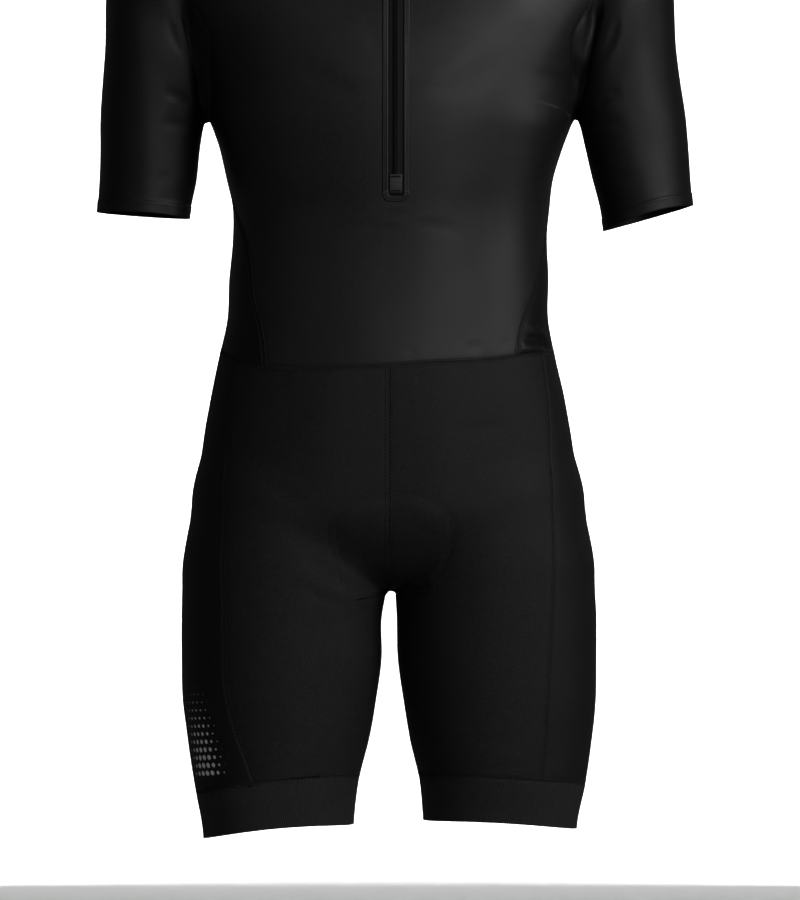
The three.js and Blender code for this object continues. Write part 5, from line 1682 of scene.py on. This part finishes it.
    def sew(self, sewing: Sewing, collar: Line, hems: list[Line]) -> None:
        """Sews every seam and hem.

        Args:
            sewing: The threads.
            collar: The line of the collar's top edge.
            hems: The stitches over the sleeves' hems.
        """
        right, left = self.right, self.left
        waist = [right.waist_front.then(right.flank_front, right.waist_side, right.flank_back, right.waist_back)]
        waist += [left.waist_front.then(left.flank_front, left.waist_side, left.flank_back, left.waist_back)]
        sewing.flat_seam("waist_seam", waist)
        fine = Rods(pitch=0.0017, length=0.0042, thick=0.0003, slant=1.15, swing=1, arch=0.3)
        needle = Rods(pitch=0.0026, length=0.002, thick=0.00034, arch=0.4)
        for half in (right, left):
            word = half.side.word
            sewing.flat_seam(f"side_seams_{word}", [half.panel_front, half.panel_back, half.shoulder])
            sewing.flat_seam(f"armhole_seam_{word}", [half.hole])
            Sewing(self.drape, fine, needle).flat_seam(f"thigh_seams_{word}", [half.thigh_front, half.thigh_back])
            sewing.flat_seam(f"band_seam_{word}", [half.band_top], rise=0.1)
        sewing.flat_seam("centre_seam", [self.centre_front.then(self.centre_back.back())])
        sewing.flat_seam("inseam", [right.inseam.back().then(left.inseam)])
        sewing.row("hem_stitches", hems, 0.62, (-1.6, 1.6))
        sewing.row("collar_stitches", [Line(collar.at - (0, 0, 3.2), collar.out)], 0.1)
        foot = right.neck_front.back().then(right.neck_back, self._nape(), left.neck_back.back(), left.neck_front)
        sewing.row("neck_stitches", [foot], 0.1, (-2.6, 2.6))

    def sew_pad(self, sewing: Sewing) -> None:
        """Stitches the outline of the pad that lies inside the shorts."""
        outer = front_at([
            (-2, -586.8), (-24, -590.5), (-43, -598), (-54.5, -610), (-57.5, -624), (-54.5, -643), (-47, -664), (-41, -680),
        ])
        inner = front_at([(-2, -590.6), (-20, -593.8), (-37.5, -600.8), (-47, -611), (-50, -624), (-47.5, -643), (-40.5, -664)])
        other = front_at([
            (-2, -588), (20, -591), (39, -599), (51.5, -608), (56.5, -619), (54, -637), (47.5, -657), (36.5, -672.5),
        ])
        lines = []
        for guides in (outer, inner, other):
            spaced = Curve(guides).spaced(60)
            lines.append(FIGURE.meet(spaced, columns(spaced[:, 0], 0, spaced[:, 2])))
        for line in lines:
            self.drape.add(line.at[::4], (-0.75, 3.4), tail=0.06)
        self.drape.add(lines[0].at[::4] * (0.72, 1, 1) + (0, 0, -6), (0.5, 14), tail=0.2)
        self.drape.add(lines[2].at[::4] * (0.72, 1, 1) + (0, 0, -6), (0.5, 14), tail=0.2)
        self.pad = lines


@dataclass
class Zip:
    """The front zip: tapes, teeth, stop, slider, pull tab and the stitched edging round it."""

    drape: Drape
    top: float = -20.8
    edging: float = 12.6  # half the width of the edging
    coil_low: float = -295.5

    def heights(self, low: float, high: float, step: float = 3.0) -> Points:
        """Returns heights from low to high, closer together at the neck."""
        chest = np.arange(low, min(high, -80), step)
        neck = np.arange(max(low, -80), high, step / 2)
        return np.unique(np.concatenate([chest, neck, [high]]))

    @staticmethod
    def strip(offsets: Points, heights: Points) -> Grid:
        """Returns a grid on the form from offsets beside the zip's middle and heights."""
        x, z = np.meshgrid(ZIP_X + offsets, heights)
        guides = columns(x, np.where(z > -60, -58, -100), z).reshape(-1, 3)
        met = FIGURE.meet(guides, zip_core(guides))
        return Grid(met.at.reshape(*x.shape, 3), met.out.reshape(*x.shape, 3))

    def build_tapes(self) -> None:
        """Builds the two woven tapes."""
        for word, sign in (("right", -1), ("left", 1)):
            offsets = np.array([0.25, 0.6, 1.6, 2.4, 2.8, 3.6, 4.8, 5.8, 6.6, 7.0, 8.4, 10.2, 12.2]) * sign
            grid = self.strip(np.sort(offsets), self.heights(ZIP_END + 0.6, self.top))
            middle = abs(grid.at[..., 0] - ZIP_X).ravel()
            over = np.where(middle < 2.7, 0.1, -0.25) + 0.25 * np.exp(-((middle - 3.2) ** 2) / 0.4)
            over = np.where(middle > 6.8, -1.75, over)
            Cloth(
                f"zip_tape_{word}_weave", f"zip_tape_{word}", Cloths.TAPE.value, [grid], [], drape=self.drape,
                lift=self._by_point(grid, over), wall=2.3,
            ).build()

    @staticmethod
    def _by_point(grid: Grid, over: Points) -> Callable[[Points], Points]:
        """Returns a lift that gives each point of a grid its own height, found by its place in the cloth."""
        known = np.round(grid.uv().reshape(-1, 2), 3)
        table = {tuple(key): height for key, height in zip(known.tolist(), over.tolist())}

        def lift(uv: Points) -> Points:
            """Returns the height of each point."""
            return np.array([table[tuple(key)] for key in np.round(uv, 3).tolist()])

        return lift

    def line(self, offset: float, low: float, high: float, rise: float) -> Line:
        """Returns a line beside the zip's middle, lifted over the form."""
        grid = self.strip(np.array([offset]), self.heights(low, high))
        at, out = grid.at[:, 0], grid.out[:, 0]
        return Line(at + out * (self.drape.lift(at) + rise)[:, None], out)

    def build_teeth(self) -> None:
        """Builds the closed coil: two rows of fine slanting teeth that meet in the middle."""
        teeth = Rods(pitch=0.00125, length=0.0023, thick=0.00095, slant=1.38, arch=0.35, loose=0.01)
        rows = [self.line(-0.98, self.coil_low, -21.5, 0.5), self.line(0.98, self.coil_low + 0.6, -21.5, 0.5)]
        mesh = teeth.lay("zip_teeth", rows, Cloths.TEETH.value, 11)
        piece = make_object("zip_teeth", mesh, Cloths.TEETH.value)
        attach(piece, GARMENT)
        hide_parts("zip_coil")
        log.info("zip_teeth: %d faces", len(mesh.polygons))

    def build_edging(self) -> None:
        """Builds the flat stitched edging that frames the zip, and its stitches."""
        inner, outer, foot = 7.1, self.edging, ZIP_END - 0.6
        side = self.heights(foot + 3, self.top - 0.4, 2.6)[::-1]
        turn = np.linspace(0, math.pi / 2, 7)
        across = np.linspace(0, 1, 9)
        rows: list[tuple[Points, Points]] = []
        for z in side:
            rows.append((-(inner + (outer - inner) * across), np.full(9, z)))
        corner = inner - 2.6
        for angle in turn:
            reach = 2.6 + (outer - inner) * across
            rows.append((-(corner + reach * math.cos(angle)), foot + 3 - reach * math.sin(angle)))
        for x in np.linspace(-corner, corner, 5)[1:-1]:
            rows.append((np.full(9, x), foot + 3 - (2.6 + (outer - inner) * across)))
        rows += [(-x, z) for x, z in rows[: len(side) + 7][::-1]]
        x, z = np.stack([row[0] for row in rows]) + ZIP_X, np.stack([row[1] for row in rows])
        guides = columns(x, np.where(z > -60, -58, -100), z).reshape(-1, 3)
        met = FIGURE.meet(guides, zip_core(guides))
        grid = Grid(met.at.reshape(*x.shape, 3), met.out.reshape(*x.shape, 3))
        profile = np.array([0.0, 0.5, 0.62, 0.5, 0.6, 0.66, 0.62, 0.5, 0.0])
        over = np.broadcast_to(profile, x.shape).ravel()
        mesh = self._ribbon("zip_edging", grid, over)
        piece = make_object("zip_edging", mesh, Cloths.TOP.value)
        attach(piece, GARMENT)
        sewing = Sewing(self.drape)
        # The edging's stitches take the paler thread, which paints light on them.
        for name, share, rise in (("zip_edging_stitches", 0.78, 0.78), ("zip_inner_stitches", 0.16, 0.7)):
            k = share * 8
            line = Line(
                np.stack([np.interp(k, np.arange(9), row[:, a]) for row in grid.at for a in range(3)]).reshape(-1, 3),
                grid.out[:, 4],
            )
            sewing.row(name, [line], rise, thread=Cloths.TOPSTITCH)

    def _ribbon(self, name: str, grid: Grid, over: Points) -> bpy.types.Mesh:
        """Builds a closed flat ribbon over the cloth with the heights given at each point."""
        rows, width = grid.at.shape[:2]
        p, n = grid.at.reshape(-1, 3), grid.out.reshape(-1, 3)
        rise = self.drape.lift(p)
        outer = p + n * (rise + over)[:, None]
        inner = p + n * (rise - 0.35)[:, None]
        index = np.arange(rows * width).reshape(rows, width)
        quad = np.stack([index[:-1, :-1], index[:-1, 1:], index[1:, 1:], index[1:, :-1]], axis=-1).reshape(-1, 4)
        a, b, d = p[quad[:, 0]], p[quad[:, 1]], p[quad[:, 3]]
        if np.einsum("ij,ij->i", np.cross(b - a, d - a), n[quad[:, 0]]).sum() < 0:
            quad = quad[:, ::-1]
        count = len(p)
        faces = quad.tolist() + (quad[:, ::-1] + count).tolist()
        use = {(a, b) for face in quad.tolist() for a, b in zip(face, face[1:] + face[:1])}
        faces += [[b, a, a + count, b + count] for a, b in use if (b, a) not in use]
        mesh = bpy.data.meshes.new(name)
        mesh.from_pydata((np.concatenate([outer, inner]) / 1000).tolist(), [], faces)
        uv = np.concatenate([grid.uv().reshape(-1, 2)] * 2) / 1000
        layer = mesh.uv_layers.new(name="cloth")
        layer.uv.foreach_set("vector", uv[[a for face in faces for a in face]].astype(np.float32).ravel())
        mesh.shade_smooth()
        return mesh

    def build_metal(self) -> None:
        """Rounds the edges of the slider, the pull tab and the bottom stop."""
        for name, node, body, finish, bevel in (
            ("slider_body", "zip_slider", GARMENT, Cloths.METAL, 0.00028),
            ("pull_tab", "zip_pull", PULL, Cloths.METAL, 0.00026),
            ("bottom_stop", "zip_stop", GARMENT, Cloths.STOP, 0.0003),
        ):
            source = bpy.data.objects[node]
            solid = bmesh.new()
            solid.from_mesh(source.data)
            bmesh.ops.remove_doubles(solid, verts=solid.verts, dist=2e-6)
            bmesh.ops.dissolve_limit(solid, angle_limit=math.radians(4), verts=solid.verts, edges=solid.edges)
            sharp = [edge for edge in solid.edges if len(edge.link_faces) == 2 and edge.calc_face_angle() > math.radians(35)]
            bmesh.ops.bevel(
                solid, geom=sharp, offset=bevel, offset_type="OFFSET", segments=2, profile=0.6, affect="EDGES",
                clamp_overlap=True,
            )
            bmesh.ops.recalc_face_normals(solid, faces=solid.faces)
            mesh = bpy.data.meshes.new(name)
            solid.to_mesh(mesh)
            solid.free()
            mesh.shade_smooth()
            piece = make_object(name, mesh, finish.value)
            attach(piece, body)
            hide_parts(node)
            log.info("%s: %d faces", name, len(mesh.polygons))
        bars = Rods(pitch=0.0128, length=0.0088, thick=0.0014, slant=math.pi / 2, arch=0.1, loose=0)
        mesh = bars.lay("stop_bars", [self.line(0, -311.4, -298.4, 1.0)], Cloths.TEETH.value, 1)
        piece = make_object("stop_bars", mesh, Cloths.TEETH.value)
        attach(piece, GARMENT)


@dataclass(frozen=True)
class Studio:
    """Camera, floor, wall and lights.

    Attributes:
        distance: From the camera to the middle of the suit, in metres.
        shown: Height of the suit that the frame shows, in metres.
        aim: Middle of the frame.
        floor: Height of the floor.
        wall: Depth at which the wall stands, far behind the suit.
    """

    distance: float = 7.0
    shown: float = 0.837
    aim: tuple[float, float, float] = (0.0074, 0.0, -0.549)
    floor: float = -1.5
    wall: float = 11.8

    def set_camera(self) -> None:
        """Places the camera square in front of the suit."""
        data = bpy.data.cameras.new("camera")
        data.sensor_fit = "VERTICAL"
        data.sensor_height = 36
        data.lens = 36 * self.distance / self.shown
        camera = bpy.data.objects.new("camera", data)
        camera.location = (self.aim[0], -self.distance, self.aim[2])
        camera.rotation_euler = (math.pi / 2, 0, 0)
        bpy.context.scene.collection.objects.link(camera)
        bpy.context.scene.camera = camera

    def set_ground(self) -> None:
        """Lays the pale floor and its wall in one sweep."""
        paper = Ground("studio_paper", "", (0.9, 0.9, 0.9), 0.85, gloss=0.1)
        turn = np.linspace(0, math.pi / 2, 13)
        rows = [(-13.0, 0.0)] + [(self.wall - 0.9 + 0.9 * math.sin(a), 0.9 - 0.9 * math.cos(a)) for a in turn]
        rows.append((self.wall, 7.0))
        verts = [(x, y, z + self.floor) for y, z in rows for x in (-13, 13)]
        faces = [(2 * k, 2 * k + 1, 2 * k + 3, 2 * k + 2) for k in range(len(rows) - 1)]
        mesh = bpy.data.meshes.new("studio_ground")
        mesh.from_pydata(verts, [], faces)
        mesh.materials.append(paper.material())
        mesh.shade_smooth()
        ground = bpy.data.objects.new("studio_ground", mesh)
        bpy.context.scene.collection.objects.link(ground)
        ground.visible_glossy = False

    @staticmethod
    def light(name: str, place: tuple[float, float, float], aim: tuple[float, float, float], size: tuple[float, float], power: float) -> None:
        """Adds a soft rectangular light.

        Args:
            name: The light's name.
            place: Where it stands.
            aim: What it faces.
            size: Its width and height.
            power: Its power in watts.
        """
        data = bpy.data.lights.new(name, "AREA")
        data.shape = "RECTANGLE"
        data.size, data.size_y = size
        data.energy = power
        lamp = bpy.data.objects.new(name, data)
        lamp.location = place
        lamp.rotation_euler = (Vector(aim) - Vector(place)).to_track_quat("-Z", "Y").to_euler()
        lamp.visible_camera = False
        bpy.context.scene.collection.objects.link(lamp)

    def set_lights(self) -> None:
        """Adds the key light at the viewer's right, a weak fill and the light on the wall."""
        self.light("key", (2.2, -2.0, 0.6), (0.0, 0.0, -0.4), (1.2, 1.7), 66)
        self.light("fill", (-0.7, -3.4, 0.9), (0.0, 0.0, -0.5), (1.8, 1.8), 8)
        self.light("rear", (0.9, 3.2, 1.5), (0.0, 0.0, -0.5), (1.6, 0.9), 30)
        for side, x in (("left", -1.7), ("right", 1.7)):
            self.light(f"wall_{side}", (x, self.wall - 2.4, -0.3), (x, self.wall, -0.3), (1.2, 2.2), 190)
        world = bpy.data.worlds.new("studio_air")
        world.use_nodes = True
        world.node_tree.nodes["Background"].inputs["Color"].default_value = (1, 1, 1, 1)
        world.node_tree.nodes["Background"].inputs["Strength"].default_value = 0.06
        bpy.context.scene.world = world
        bpy.context.scene.view_settings.view_transform = "Standard"


def main() -> None:
    """Builds the studio and every piece of the suit in order."""
    logging.basicConfig(level=logging.INFO, format="%(message)s")
    studio = Studio()
    studio.set_camera()
    studio.set_ground()
    studio.set_lights()
    drape = Drape().lay()
    suit = Suit(drape)
    sewing = Sewing(drape)
    suit.sew_pad(sewing)
    suit.build_front()
    suit.build_back()
    collar = suit.build_collar()
    suit.build_sides()
    hems = suit.build_sleeves()
    suit.build_shorts()
    suit.build_bands()
    suit.sew(sewing, collar, hems)
    sewing.row("pad_stitches", suit.pad, 0.15)
    fastener = Zip(drape)
    fastener.build_tapes()
    fastener.build_teeth()
    fastener.build_edging()
    fastener.build_metal()
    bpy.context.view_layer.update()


if __name__ == "__main__":
    main()
